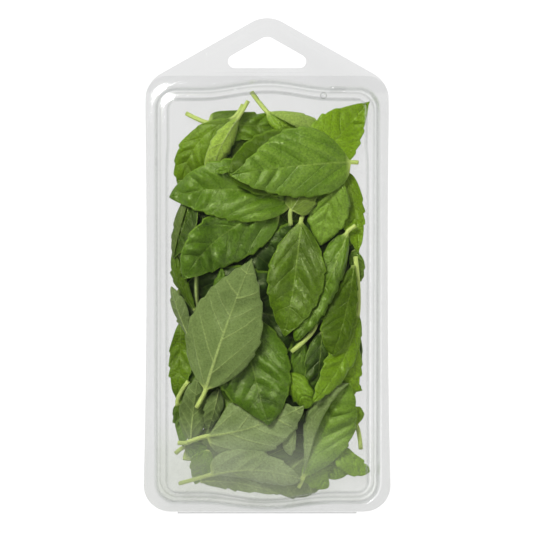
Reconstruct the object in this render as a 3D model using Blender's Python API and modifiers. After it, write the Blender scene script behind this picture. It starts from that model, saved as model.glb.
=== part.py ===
"""Hang-tab clamshell of picked basil leaves, lying on its back with the window up.

The pack is a clear tray with a hang tab, a clear windowed lid and the living hinge between them.
The leaves are separate pieces. Each one is shaped in millimetres from a few measures and then laid
on the pile below it, so that neighbours rest close together and never cut through each other.
"""
import math
from collections import namedtuple

import bmesh
import bpy
import numpy as np
from mathutils import Matrix, Vector

MM = 0.001
COLLECTION = "basil_clamshell"

# ---- the pack, in millimetres ---------------------------------------------------------------
SHEET = 0.5                    # plastic thickness
HALF_WIDTH = 54.0              # half the width at mid height
WAIST_TOP = 0.6                # how much each side flares towards the shoulders
WAIST_FOOT = 1.2               # and towards the foot
FOOT_Y = -110.05               # lower edge of both flanges
FOOT_RADIUS = 12.0
LID_TOP_Y = 85.0
LID_TOP_RADIUS = 10.0
SHOULDER_RADIUS = 13.0
TAB_SLOPE = math.radians(29.5)
TAB_REACH = 98.3               # distance of the sloping tab edges from the origin
TAB_APEX_RADIUS = 14.0
TRAY_FLANGE_Z = 16.0
LID_FLANGE_Z = 16.8
LEDGE_Z = 20.4
WINDOW_Z = 24.8
FLOOR_Z = SHEET
BOW_SPAN = 30.0                # the wall bows stay inside this half width
# name: (half width, top y, top bow, foot y, foot bow, corner radius)
RING_FLANGE = (50.3, 80.0, 3.3, -106.4, 2.6, 9.5)
RING_BAND = (48.8, 78.2, 3.1, -104.9, 2.5, 8.0)
RING_WALL_FOOT = (45.4, 75.1, 3.2, -101.6, 3.5, 5.8)
RING_WINDOW = (44.2, 73.5, 3.2, -100.4, 3.4, 3.8)
RING_TRAY_FOOT = (48.6, 78.4, 3.0, -104.8, 2.4, 8.5)
RING_TRAY_FLOOR = (47.2, 77.0, 3.0, -103.4, 2.4, 7.2)

# ---- the hang hole and its stiffening bead ---------------------------------------------------
HOLE_APEX = (0.0, 97.5, 5.0)   # x, y and radius of the rounded apex
HOLE_FOOT = (14.6, 91.5, 3.0)  # the same for the two lower corners
BEAD_APEX = (0.0, 96.9, 10.5)
BEAD_FOOT = (24.7, 90.9, 3.6)
BEAD_RADIUS = 0.95

# ---- the living hinge --------------------------------------------------------------------------
HINGE_Y = -110.6
HINGE_Z = 16.15
HINGE_RADIUS = 0.25
HINGE_HALF_LENGTH = 40.0

# ---- leaves ------------------------------------------------------------------------------------
BLADE = 0.4                    # blade thickness
STALK = 1.3                    # stalk thickness
STALK_HALF = 1.0               # half the stalk's width
FOLD = 6                       # degrees each half rises at the midrib
FOLDS_BACK = 120               # a half that curls further than this lies back over itself
FLAT_COLUMNS = (0.5, 1.0)      # mesh columns of one half, from the midrib out
FOLDED_COLUMNS = (0.25, 0.45, 0.53, 0.61, 0.69, 1.0)
STALK_ROWS = 2
LONG_LEAF = 35.0               # blades longer than this get more rows
LONG_ROWS = 8
SHORT_ROWS = 5
GAP = 0.8                      # clear height kept between a leaf and the pile under it
CEILING = 23.8                 # nothing in the pile stands higher
CELL = 0.5                     # grid step of the pile's height map
REACH_X = 56.0                 # the height map covers this half width
REACH_Y = 114.0                # and this half length
FACE_SAMPLES = 14              # height samples each way on one face of a leaf

# widths, peaks, blunts and curls are (right, left) pairs, in the order of the surface's columns
Leaf = namedtuple("Leaf", "up stalk base tip bow widths peaks blunts curls arch")


def leaf(up, stalk, base, tip, bow, left, right, peak=0.42, blunt=0.8, curl=(-25, -25), arch=3):
    """up 'T' shows the glossy face and 'U' the pale underside; lengths in mm, angles in degrees.

    left and right are half widths seen from the base towards the tip, and bow moves the midrib's
    middle to the left. peak is where a half is widest and blunt how round its tip is, each for
    both halves or as (left, right). curl bends each half across (over 120 folds it back).
    """
    peak = peak if isinstance(peak, tuple) else (peak, peak)
    blunt = blunt if isinstance(blunt, tuple) else (blunt, blunt)
    return Leaf(up, stalk, base, tip, bow, (right, left), peak[::-1], blunt[::-1], curl[::-1], arch)


# The pile from the bottom leaf to the top one.
LEAVES = {
    "bed_1": leaf("T", None, (-40, 49), (13, 46), 2, 17, 17, arch=4),
    "bed_2": leaf("U", None, (34, 41), (-17, 28), -2, 19, 18, arch=3),
    "bed_3": leaf("T", None, (-41, 16), (19, 11), -3, 21, 19, curl=(-40, -40), arch=6),
    "bed_4": leaf("T", None, (40.5, 11), (-13, -5), 2, 21, 20, curl=(-35, -35), arch=4),
    "bed_5": leaf("T", None, (-42, -15), (30, -30), 2, 20, 22, curl=(-40, -40), arch=6),
    "bed_6": leaf("T", None, (-42, -56), (20, -50), 0, 19, 24, curl=(-40, -40), arch=6),
    "bed_7": leaf("T", None, (36, -24), (9, -80), 2, 15, 21, curl=(-35, -35), arch=5),
    "bed_8": leaf("U", None, (-38, -87), (25, -99), 2, 19.5, 10, (0.4, 0.75), (0.8, 0.6),
                  curl=(-30, -20), arch=4),
    "top_left_back": leaf("T", (-36.7, 69), (-26.5, 64.6), (16, 63.6), -1, 6.6, 7, (0.3, 0.34), (0.55, 0.8)),
    "left_shade": leaf("T", None, (-32, 24), (-36.5, -8), 1, 6, 5.5, curl=(10, 25)),
    "middle_stalk": leaf("U", (-31.9, -1), (-30.4, -21), (-22, -50), 1, 6, 6),
    "middle_grey": leaf("T", None, (-19, -24), (-20.4, -0.9), 0.3, 4.6, 4.2, 0.4, 0.9),
    "right_chip": leaf("T", None, (38.8, 7), (42.4, -7), 0.4, 3.0, 3.4, arch=1),
    "right_edge_high": leaf("T", None, (37.5, -32), (39.5, -58), 0.8, 3.7, 5, 0.4),
    "right_edge_mid": leaf("T", None, (31, -51), (42.9, -56.2), 0.3, 3.0, 4, 0.42, 1.0, arch=1),
    "right_edge_low": leaf("T", (42.4, -83), (40.3, -72), (33, -56), 0.4, 5, 5.9, (0.4, 0.22), (1.0, 2.6)),
    "low_dark": leaf("T", None, (0, -86), (21, -79), 1, 5.5, 7, arch=2),
    "low_pale": leaf("U", None, (12, -66), (10.8, -85.4), 0.3, 1.6, 4.8, 0.6, 0.6),
    "corner_dark": leaf("T", None, (33.5, -82), (27.5, -96.2), 0, 8.2, 4.2, 0.55, 0.6, curl=(-10, -10),
                        arch=1),
    "corner_bright": leaf("T", None, (31, -81), (46.4, -93.2), 0, 2.6, 7.4, 0.5, 0.6, curl=(-10, -10),
                          arch=1),
    "foot_right": leaf("T", None, (18.5, -88), (27.4, -100.4), 0, 4.4, 6.8, 0.45, 0.6, curl=(-10, -10),
                       arch=1),
    "foot_left_dark": leaf("T", (-41.4, -84.9), (-37, -82), (-25, -87), 0.8, 4, 4.2),
    "foot_left_bright": leaf("T", None, (-26.5, -83), (-32.6, -98.7), 1, 4.2, 6.8, curl=(60, 20)),
    "right_bright": leaf("T", None, (35.6, 42), (41, 6), 1.6, 4.3, 8, 0.35, curl=(-10, 20)),
    "upper_left_bright": leaf("T", (-10.8, 72.6), (-15.5, 66.4), (-38.8, 34), -6.2, 12, 6.4,
                              (0.45, 0.55), 0.8, curl=(-15, -20)),
    "upper_left_pale": leaf("U", (-8.6, 74.2), (-13.2, 66.3), (-27.5, 36), -1.4, 5.8, 6.4, 0.45, 1.0,
                            curl=(-80, -80)),
    "top_folded": leaf("T", (-7.2, 78.6), (0.4, 69), (31, 53), -2.4, 19, 5, (0.56, 0.42), 0.6,
                       curl=(172, -50)),
    "top_right_bright": leaf("T", None, (23.5, 47), (46.3, 74.2), 0.6, 12.8, 11.2, (0.34, 0.3),
                             (1.2, 1.1), curl=(-10, 14)),
    "left_bright_low": leaf("T", None, (-38.2, -11), (-41, 9), 0.2, 3.9, 2.8, curl=(10, 10), arch=1),
    "left_sliver": leaf("T", None, (-32.4, -20), (-41.2, 5.6), 2.0, 2.0, 3.4, 0.5, curl=(-40, -60), arch=1),
    "left_long_bright": leaf("T", None, (-39, -25), (-40.6, -60.5), 0.6, 5.6, 5.2, 0.5, curl=(20, 10)),
    "left_curled_pale": leaf("U", None, (-35.2, -31.5), (-43.2, -9.5), 0.6, 2.4, 4.8, 0.5,
                             curl=(-50, -60), arch=1),
    "left_folded": leaf("T", None, (-34, 33), (-42, 3.6), 0.6, 5.5, 9, 0.45, curl=(15, 172)),
    "left_narrow": leaf("T", (-35.4, -52), (-40.4, -62.5), (-38, -81.5), 0.6, 3.6, 3.4, 0.35,
                        curl=(-20, -10), arch=1),
    "lower_left_grey": leaf("U", (-40.3, -79.8), (-34.4, -78.7), (-31, -50), 0.5, 6.2, 6.8, 0.45),
    "lower_left_olive": leaf("U", None, (-22, -56), (-26.6, -74), 0.3, 3.8, 4.6, 0.45),
    "right_quilted": leaf("T", None, (31, 42.5), (24.1, 9.2), 0.2, 9.4, 9.6, 0.5, 0.95, curl=(-20, -20)),
    "mid_right_small": leaf("T", None, (15.6, -33), (15, -58), 0, 3.4, 5, 0.45, curl=(-30, -40), arch=1),
    "mid_right_dark": leaf("T", None, (24.5, -30), (21, -63), 0.4, 7.6, 6.6, 0.45),
    "cut_stalk": leaf("T", (10.9, -38.6), (21.5, -27.5), (33, 14), 0, 7, 7, 0.5, arch=2),
    "right_large_folded": leaf("T", (14, -100), (16.4, -95), (37, -53), 1.5, 20, 13.6, (0.65, 0.52),
                               (0.9, 0.8), curl=(172, -20)),
    "small_folded": leaf("T", None, (9, -49), (18.6, -63.8), 0.6, 6.6, 4.6, 0.5, 0.5, curl=(-60, -30)),
    "right_long_bright": leaf("T", (39.8, 4.2), (41, -22), (20.6, -61), 3.4, 5.0, 7.5, 0.45,
                              curl=(-35, -15)),
    "right_glossy": leaf("T", None, (38.8, 0), (29.4, -39.8), 1.6, 4.6, 10, 0.6, 0.55, curl=(-20, -30)),
    "low_left_pale": leaf("U", (-36, -79.4), (-27, -76.6), (16.3, -62.8), -2.4, 15.5, 13.4,
                          (0.45, 0.4), (1.6, 0.75), curl=(-20, -20)),
    "centre_large": leaf("T", None, (-13, -22), (0.5, -71.6), 0, 17.4, 17.4, (0.47, 0.46), (0.75, 1.2),
                         curl=(-30, -20), arch=4),
    "foot_pale": leaf("U", None, (-30, -97), (4.6, -103), 1.8, 3.3, 3.6, (0.4, 0.45), (1.2, 0.8),
                      curl=(-20, -20), arch=1),
    "foot_large_pale": leaf("U", (-39.5, -98.3), (-25, -94), (14.8, -96), 3, 9.8, 8, (0.3, 0.7),
                            (0.8, 0.5), curl=(-30, -90)),
    "left_large_pale": leaf("U", (-31.8, -63.8), (-27.6, -55.6), (-6.8, 2.9), 0.8, 16.6, 16.8, 0.43,
                            1.1, curl=(-20, -20)),
    "right_narrow": leaf("T", (39.9, 18), (36, 14.8), (12.7, -33.8), 1.8, 6.2, 8.5, 0.5, 0.65,
                         curl=(-70, -20)),
    "centre_tall": leaf("T", (15.9, 22.4), (15.2, 20), (7.8, -31.8), 0.8, 13.6, 12.4, 0.48, 1.0,
                        curl=(-22, -22)),
    "left_large": leaf("T", None, (5, 26), (-37.2, -5.6), -5.3, 14.8, 10.8, (0.38, 0.58), 0.75,
                       curl=(-20, -25)),
    "upper_left_large": leaf("T", None, (11, 27.5), (-44, 31), -5, 14.2, 14.6, 0.42, 0.8, curl=(-22, -25)),
    "pale_patch": leaf("U", (10.7, 18.2), (10.9, 25.2), (20, 44), -1, 5.5, 8, 0.25, 0.8, arch=1),
    "small_tip": leaf("T", None, (-6, 46.2), (-23.2, 42.2), 0.4, 1.6, 1.8, 0.7, 0.5, arch=1),
    "top_second": leaf("T", None, (31, 48), (-17.2, 41.5), 0.6, 12.8, 18.3, 0.5, 0.62, curl=(-18, -30)),
    "top_leaf": leaf("T", (41, 46.6), (37.5, 46.7), (-16.3, 40.6), -0.8, 14.6, 18.2, (0.35, 0.4),
                     (0.8, 1.4), curl=(-22, -34), arch=5),
}

# ---- colours -----------------------------------------------------------------------------------
CLEAR = ("clear_plastic", (0.80, 0.83, 0.82), 0.08)
GREEN_TOP = ("basil_leaf_top", (0.075, 0.20, 0.02), 0.38)
GREEN_PALE = ("basil_leaf_underside", (0.22, 0.33, 0.12), 0.6)


# ================================ plan outlines of the pack ====================================
def arc(centre, radius, start, end, count):
    """Points on an arc, angles in radians, both ends included."""
    angles = np.linspace(start, end, count)
    return [(centre[0] + radius * math.cos(a), centre[1] + radius * math.sin(a)) for a in angles]


def bow_at(x, height):
    """The gentle outward bow of a wall, highest at the middle and gone at BOW_SPAN."""
    return height * 0.5 * (1 + math.cos(math.pi * min(abs(x) / BOW_SPAN, 1.0)))


def flare(point):
    """Widen a plan point as the sides of the flanges do towards both ends."""
    x, y = point
    reach = WAIST_TOP * (y / 78.0) ** 2 if y > 0 else WAIST_FOOT * (y / 98.0) ** 2
    return (x * (1 + reach / HALF_WIDTH), y)


def foot_edge(half, foot_y, foot_bow, radius):
    """The left side, foot and right side of an outline, anticlockwise from the upper left."""
    points = [(-half, 30.0), (-half, -20.0), (-half, -65.0)]
    points += arc((-half + radius, foot_y + radius), radius, math.pi, 1.5 * math.pi, 5)
    points += [(x, foot_y - bow_at(x, foot_bow)) for x in np.linspace(-BOW_SPAN, BOW_SPAN, 9)]
    points += arc((half - radius, foot_y + radius), radius, -0.5 * math.pi, 0.0, 5)
    points += [(half, -65.0), (half, -20.0), (half, 30.0)]
    return points


def wall_ring(half, top_y, top_bow, foot_y, foot_bow, radius):
    """A rounded rectangle whose top and foot bow outwards."""
    points = foot_edge(half, foot_y, foot_bow, radius)
    points += arc((half - radius, top_y - radius), radius, 0.0, 0.5 * math.pi, 5)
    points += [(x, top_y + bow_at(x, top_bow)) for x in np.linspace(BOW_SPAN, -BOW_SPAN, 9)]
    points += arc((-half + radius, top_y - radius), radius, 0.5 * math.pi, math.pi, 5)
    return points


def lid_ring():
    """The outer edge of the lid's flange."""
    points = wall_ring(HALF_WIDTH, LID_TOP_Y, 0.0, FOOT_Y, 0.0, FOOT_RADIUS)
    upper = arc((HALF_WIDTH - LID_TOP_RADIUS, LID_TOP_Y - LID_TOP_RADIUS), LID_TOP_RADIUS, 0, math.pi / 2, 5)
    points[25:30] = upper
    points[39:44] = [(-x, y) for x, y in reversed(upper)]
    return [flare(p) for p in points]


def tab_height(x):
    """Upper edge of the hang tab: two slopes and a rounded apex."""
    turn = TAB_APEX_RADIUS * math.sin(TAB_SLOPE)
    if abs(x) > turn:
        return (TAB_REACH - abs(x) * math.sin(TAB_SLOPE)) / math.cos(TAB_SLOPE)
    centre = (TAB_REACH - TAB_APEX_RADIUS) / math.cos(TAB_SLOPE)
    return centre + math.sqrt(TAB_APEX_RADIUS ** 2 - x ** 2)


def tray_ring():
    """The outer edge of the tray's flange, with the hang tab above it."""
    points = foot_edge(HALF_WIDTH, FOOT_Y, 0.0, FOOT_RADIUS)
    cx = HALF_WIDTH + 0.4 - SHOULDER_RADIUS
    cy = (TAB_REACH - SHOULDER_RADIUS - cx * math.sin(TAB_SLOPE)) / math.cos(TAB_SLOPE)
    shoulder = arc((cx, cy), SHOULDER_RADIUS, 0.0, math.pi / 2 - TAB_SLOPE, 5)
    tab = [(x, tab_height(x)) for x in (34.0, 22.0, 7.0, 4.0, 0.0, -4.0, -7.0, -22.0, -34.0)]
    return [flare(p) for p in points] + shoulder + tab + [(-x, y) for x, y in reversed(shoulder)]


def rounded_triangle(apex, foot, count):
    """A closed outline around a rounded apex and two rounded lower corners, anticlockwise."""
    corner = arc(foot[:2], foot[2], -math.pi / 2, math.pi / 2 - TAB_SLOPE, count)
    top = arc(apex[:2], apex[2], math.pi / 2 - TAB_SLOPE, math.pi / 2 + TAB_SLOPE, count)
    return corner + top + [(-x, y) for x, y in reversed(corner)]


# ================================ Blender helpers ===============================================
def clear_scene():
    for obj in list(bpy.data.objects):
        bpy.data.objects.remove(obj, do_unlink=True)


def make_collection(name):
    collection = bpy.data.collections.new(name)
    bpy.context.scene.collection.children.link(collection)
    return collection


def make_material(spec):
    name, colour, roughness = spec
    material = bpy.data.materials.new(name)
    material.use_nodes = True
    shader = material.node_tree.nodes["Principled BSDF"]
    shader.inputs["Base Color"].default_value = (*colour, 1.0)
    shader.inputs["Roughness"].default_value = roughness
    return material


def add_object(name, mesh, collection, material):
    obj = bpy.data.objects.new(name, mesh)
    collection.objects.link(obj)
    mesh.materials.append(material)
    return obj


def loft(name, rings):
    """An open shell through matching rings, from the outer edge to a flat last face."""
    mesh = bpy.data.meshes.new(name)
    bm = bmesh.new()
    loops = [[bm.verts.new((x * MM, y * MM, z * MM)) for x, y in ring] for ring, z in rings]
    for outer, inner in zip(loops, loops[1:]):
        for i in range(len(outer)):
            j = (i + 1) % len(outer)
            bm.faces.new((outer[i], outer[j], inner[j], inner[i]))
    bm.faces.new(loops[-1])
    bm.to_mesh(mesh)
    bm.free()
    return mesh


def thicken(obj, thickness, offset):
    shell = obj.modifiers.new("thickness", "SOLIDIFY")
    shell.thickness = thickness
    shell.offset = offset
    shell.use_even_offset = True
    return shell


def evaluated_mesh(obj):
    """The object's mesh after its modifiers, with doubles merged."""
    graph = bpy.context.evaluated_depsgraph_get()
    mesh = bpy.data.meshes.new_from_object(obj.evaluated_get(graph))
    bm = bmesh.new()
    bm.from_mesh(mesh)
    bmesh.ops.remove_doubles(bm, verts=bm.verts, dist=0.00001)
    bm.to_mesh(mesh)
    bm.free()
    return mesh


def prism(name, outline, low, high, collection):
    """A solid with a flat outline between two heights."""
    mesh = bpy.data.meshes.new(name)
    bm = bmesh.new()
    face = bm.faces.new([bm.verts.new((x * MM, y * MM, low * MM)) for x, y in outline])
    grown = bmesh.ops.extrude_face_region(bm, geom=[face])["geom"]
    lifted = [v for v in grown if isinstance(v, bmesh.types.BMVert)]
    bmesh.ops.translate(bm, verts=lifted, vec=(0, 0, (high - low) * MM))
    bmesh.ops.recalc_face_normals(bm, faces=bm.faces)
    bm.to_mesh(mesh)
    bm.free()
    obj = bpy.data.objects.new(name, mesh)
    collection.objects.link(obj)
    obj.hide_render = True
    obj.display_type = "WIRE"
    return obj


def tube_ring(name, outline, z, radius, collection):
    """A closed round tube along a plan outline."""
    curve = bpy.data.curves.new(name, "CURVE")
    curve.dimensions = "3D"
    curve.bevel_depth = radius * MM
    curve.bevel_resolution = 1
    spline = curve.splines.new("POLY")
    spline.points.add(len(outline) - 1)
    for point, (x, y) in zip(spline.points, outline):
        point.co = (x * MM, y * MM, z * MM, 1.0)
    spline.use_cyclic_u = True
    source = bpy.data.objects.new(name + "_path", curve)
    collection.objects.link(source)
    mesh = evaluated_mesh(source)
    bpy.data.objects.remove(source, do_unlink=True)
    obj = bpy.data.objects.new(name, mesh)
    collection.objects.link(obj)
    obj.hide_render = True
    obj.display_type = "WIRE"
    return obj


def boolean(obj, cutter, operation):
    change = obj.modifiers.new(cutter.name, "BOOLEAN")
    change.operation = operation
    change.solver = "EXACT"
    change.object = cutter


# ================================ the pack ======================================================
def build_tray(parts, cutters, material):
    rings = [
        (tray_ring(), TRAY_FLANGE_Z),
        (wall_ring(*RING_FLANGE), TRAY_FLANGE_Z),
        (wall_ring(*RING_TRAY_FOOT), FLOOR_Z + 1.2),
        (wall_ring(*RING_TRAY_FLOOR), FLOOR_Z),
    ]
    tray = add_object("tray", loft("tray", rings), parts, material)
    thicken(tray, SHEET * MM, -1.0)
    middle = TRAY_FLANGE_Z - SHEET / 2
    bead = tube_ring("tab_bead", rounded_triangle(BEAD_APEX, BEAD_FOOT, 5), middle, BEAD_RADIUS, cutters)
    boolean(tray, bead, "UNION")
    hole = rounded_triangle(HOLE_APEX, HOLE_FOOT, 5)
    boolean(tray, prism("hang_hole", hole, middle - 3, middle + 3, cutters), "DIFFERENCE")
    return tray


def build_lid(parts, material):
    rings = [
        (lid_ring(), LID_FLANGE_Z),
        (wall_ring(*RING_FLANGE), LID_FLANGE_Z),
        (wall_ring(*RING_BAND), LEDGE_Z),
        (wall_ring(*RING_WALL_FOOT), LEDGE_Z),
        (wall_ring(*RING_WINDOW), WINDOW_Z),
    ]
    lid = add_object("lid", loft("lid", rings), parts, material)
    thicken(lid, SHEET * MM, -1.0)
    axis = Vector((0, HINGE_Y * MM, HINGE_Z * MM))
    lid.data.transform(Matrix.Translation(-axis))
    lid.location = axis
    return lid


def build_hinge(parts, material):
    bpy.ops.mesh.primitive_cylinder_add(vertices=12, radius=HINGE_RADIUS * MM,
                                        depth=2 * HINGE_HALF_LENGTH * MM,
                                        location=(0, HINGE_Y * MM, HINGE_Z * MM),
                                        rotation=(0, math.pi / 2, 0))
    hinge = bpy.context.object
    hinge.name = "living_hinge"
    for collection in list(hinge.users_collection):
        collection.objects.unlink(hinge)
    parts.objects.link(hinge)
    hinge.data.materials.append(material)
    return hinge


# ================================ leaf surfaces =================================================
def bezier(a, b, c, t):
    t = t[:, None]
    return (1 - t) ** 2 * a + 2 * t * (1 - t) * b + t ** 2 * c


def bezier_slope(a, b, c, t):
    t = t[:, None]
    return 2 * (1 - t) * (b - a) + 2 * t * (c - b)


def midrib(spec, stalk_rows, blade_rows):
    """Plan points and directions along the stalk and the blade, with s from below 0 to 1."""
    base = np.array(spec.base, float)
    tip = np.array(spec.tip, float)
    along = tip - base
    normal = np.array([-along[1], along[0]]) / np.hypot(*along)
    knee = (base + tip) / 2 + 2 * spec.bow * normal
    s = np.linspace(0, 1, blade_rows + 1)
    points = bezier(base, knee, tip, s)
    slopes = bezier_slope(base, knee, tip, s)
    if spec.stalk:
        end = np.array(spec.stalk, float)
        length = np.hypot(*(base - end))
        lead = base - slopes[0] / np.hypot(*slopes[0]) * length * 0.25
        t = np.linspace(0, 1, stalk_rows + 1)[:-1]
        points = np.vstack([bezier(end, lead, base, t), points])
        slopes = np.vstack([bezier_slope(end, lead, base, t), slopes])
        s = np.concatenate([(t - 1) * length / np.hypot(*along), s])
    slopes = slopes / np.hypot(slopes[:, 0], slopes[:, 1])[:, None]
    return s, points, slopes


def half_width(s, width, peak, blunt):
    """Half width of a blade: widest at peak and running out to the tip."""
    inside = np.clip(s, 0.0, 1.0)
    rise = blunt * peak / (1 - peak)
    blade = width * (inside / peak) ** rise * ((1 - inside) / (1 - peak)) ** blunt
    stalk = STALK_HALF * np.clip(1 - inside, 0.12, 1.0)
    return np.where(s <= 0, STALK_HALF, np.maximum(blade, stalk))


def cross_section(width, fold, curl, steps):
    """Across-and-up offsets along one half, as its bend grows from fold to fold + curl degrees."""
    q = np.linspace(0, 1, 33)
    start, zone = (0.42, 0.3) if abs(curl) > FOLDS_BACK else (0.15, 0.85)
    ramp = np.clip((q - start) / zone, 0, 1)
    ramp = ramp * ramp * (3 - 2 * ramp)
    angle = np.radians(fold + curl * ramp)
    across = np.concatenate([[0], np.cumsum((np.cos(angle[1:]) + np.cos(angle[:-1])) / 2)]) / 32
    up = np.concatenate([[0], np.cumsum((np.sin(angle[1:]) + np.sin(angle[:-1])) / 2)]) / 32
    return width[:, None] * np.interp(steps, q, across), width[:, None] * np.interp(steps, q, up)


def half_steps(curl):
    """Where the columns of one half lie, packed closer where it folds back."""
    return np.array(FOLDED_COLUMNS if abs(curl) > FOLDS_BACK else FLAT_COLUMNS)


def leaf_surface(spec, blade_rows):
    """Grid of points (rows, columns, xyz) in mm, and the half thickness at each of them."""
    s, centre, slope = midrib(spec, STALK_ROWS, blade_rows)
    normal = np.column_stack([-slope[:, 1], slope[:, 0]])
    on_blade = np.clip(s, 0, 1)
    span = math.dist(spec.base, spec.tip)
    height = spec.arch * 4 * on_blade * (1 - on_blade) + np.where(s < 0, 0.06 * s * span, 0.0)
    open_up = np.clip(s / 0.12, 0, 1)
    halves = []
    for sign, width, peak, blunt, curl in zip((-1, 1), spec.widths, spec.peaks, spec.blunts, spec.curls):
        steps = half_steps(curl)
        across, up = cross_section(half_width(s, width, peak, blunt), FOLD, curl, steps)
        xy = centre[:, None, :] + sign * across[..., None] * normal[:, None, :]
        halves.append(np.dstack([xy, height[:, None] + up * open_up[:, None]]))
    middle = np.dstack([centre[:, None, :], height[:, None]])
    grid = np.concatenate([halves[0][:, ::-1], middle, halves[1]], axis=1)
    rib = np.exp(-((np.arange(grid.shape[1]) - halves[0].shape[1]) / 0.6) ** 2)
    rib = np.where(s[:, None] <= 0.02, 1.0, rib[None, :] * np.clip(1 - s[:, None], 0, 1))
    thick = BLADE / 2 + (STALK - BLADE) / 2 * rib
    return grid, thick


# ================================ laying the pile ===============================================
def empty_pile():
    shape = (int(2 * REACH_Y / CELL), int(2 * REACH_X / CELL))
    return np.full(shape, FLOOR_Z)


def cells(points):
    column = np.clip(((points[..., 0] + REACH_X) / CELL).astype(int), 0, int(2 * REACH_X / CELL) - 1)
    row = np.clip(((points[..., 1] + REACH_Y) / CELL).astype(int), 0, int(2 * REACH_Y / CELL) - 1)
    return row, column


def spread(field, reach):
    """Each cell takes the highest value within reach cells of it, row-wise and column-wise."""
    for axis in (0, 1):
        out = field.copy()
        for step in range(1, reach + 1):
            out = np.maximum(out, np.roll(field, step, axis))
            out = np.maximum(out, np.roll(field, -step, axis))
        field = out
    return field


def soften(field, reach):
    """Running mean over reach cells each way, twice."""
    for _ in range(2):
        for axis in (0, 1):
            total = sum(np.roll(field, step, axis) for step in range(-reach, reach + 1))
            field = total / (2 * reach + 1)
    return field


def dense(grid, thick):
    """The grid's faces sampled finely, as flat lists of points and half thicknesses."""
    u = (np.arange(FACE_SAMPLES) + 0.5) / FACE_SAMPLES
    a, b = np.meshgrid(u, u, indexing="ij")
    weights = [(1 - a) * (1 - b), a * (1 - b), (1 - a) * b, a * b]
    corners = [(slice(None, -1), slice(None, -1)), (slice(1, None), slice(None, -1)),
               (slice(None, -1), slice(1, None)), (slice(1, None), slice(1, None))]
    points = sum(grid[c][:, :, None, None, :] * w[..., None] for c, w in zip(corners, weights))
    halves = sum(thick[c][:, :, None, None] * w for c, w in zip(corners, weights))
    return points.reshape(-1, 3), halves.reshape(-1)


def sample(field, grid):
    row, column = cells(grid)
    return field[row, column]


def settle(grid, thick, pile):
    """Lay one leaf on the pile: tilt it to the pile's lie, rest it, then drape what still cuts in."""
    flat = grid.reshape(-1, 3)
    ground = soften(pile, 6)
    under = sample(ground, flat)
    plane = np.column_stack([flat[:, 0], flat[:, 1], np.ones(len(flat))])
    fit = np.linalg.lstsq(plane, under, rcond=None)[0]
    grid = grid.copy()
    grid[..., 2] += (plane @ fit).reshape(grid.shape[:2])
    points, halves = dense(grid, thick)
    short = sample(pile, points) + GAP - (points[:, 2] - halves)
    grid[..., 2] += np.percentile(short, 60)
    for _ in range(8):
        points, halves = dense(grid, thick)
        row, column = cells(points)
        low = np.full(pile.shape, 1e3)
        np.minimum.at(low, (row, column), points[:, 2] - halves)
        short = np.where(low < 1e3, np.clip(pile + GAP - low, 0, None), 0)
        if short.max() < 0.02:
            break
        lift = np.maximum(soften(spread(short, 14), 6), 0)
        grid[..., 2] += sample(lift, grid)
    return grid


def pile_up(pile, grid, thick):
    points, halves = dense(grid, thick)
    row, column = cells(points)
    top = np.full(pile.shape, -1e3)
    np.maximum.at(top, (row, column), points[:, 2] + halves)
    return np.maximum(pile, spread(top, 2))


def lay_leaves():
    """Every leaf's settled grid, squeezed gently if the pile would pass the ceiling."""
    pile = empty_pile()
    laid = {}
    for name, spec in LEAVES.items():
        rows = LONG_ROWS if math.dist(spec.base, spec.tip) > LONG_LEAF else SHORT_ROWS
        grid, thick = leaf_surface(spec, rows)
        grid = settle(grid, thick, pile)
        pile = pile_up(pile, grid, thick)
        laid[name] = (grid, thick)
    top = max((grid[..., 2] + thick).max() for grid, thick in laid.values())
    ratio = min(1.0, (CEILING - FLOOR_Z) / (top - FLOOR_Z))
    print("pile height", round(top, 2), "squeeze", round(ratio, 3))
    for grid, thick in laid.values():
        grid[..., 2] = FLOOR_Z + (grid[..., 2] - FLOOR_Z) * ratio
    return laid


def build_leaf(name, grid, thick, parts, material):
    """A grid of faces moved onto the leaf's surface and given its thickness."""
    rows, columns = grid.shape[:2]
    bpy.ops.mesh.primitive_grid_add(x_subdivisions=columns - 1, y_subdivisions=rows - 1, size=1.0)
    obj = bpy.context.object
    obj.name = name
    obj.data.name = name
    for collection in list(obj.users_collection):
        collection.objects.unlink(obj)
    parts.objects.link(obj)
    vertices = obj.data.vertices
    order = sorted(range(rows * columns), key=lambda i: (round(vertices[i].co.y, 4), vertices[i].co.x))
    flat = grid.reshape(-1, 3)
    halves = thick.reshape(-1)
    group = obj.vertex_groups.new(name="thickness")
    for place, index in enumerate(order):
        row, column = divmod(place, columns)
        source = row * columns + (columns - 1 - column)
        vertices[index].co = flat[source] * MM
        group.add([index], float(2 * halves[source] / STALK), "REPLACE")
    shell = thicken(obj, STALK * MM, 0.0)
    shell.use_even_offset = False
    shell.vertex_group = group.name
    obj.data.materials.append(material)
    obj.data.shade_smooth()
    return obj


def main():
    clear_scene()
    parts = make_collection(COLLECTION)
    cutters = make_collection("cutters")
    clear = make_material(CLEAR)
    faces = {"T": make_material(GREEN_TOP), "U": make_material(GREEN_PALE)}
    build_tray(parts, cutters, clear)
    build_lid(parts, clear)
    build_hinge(parts, clear)
    for name, (grid, thick) in lay_leaves().items():
        build_leaf("leaf_" + name, grid, thick, parts, faces[LEAVES[name].up])


main()
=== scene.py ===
# %% [markdown]
# # A hang-tab clamshell of picked basil leaves
#
# The real object is a clear plastic pack, thermoformed from one thin sheet: a shallow tray with a
# hang tab, a windowed lid, and a crease at the foot that joins them. It is filled with loose basil
# leaves. It lies on its back on a pale floor, and we look straight down at its window. First the
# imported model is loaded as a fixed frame, because every new piece has to stand where it says.

# %% Load the frame
import math
from collections import namedtuple

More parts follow.
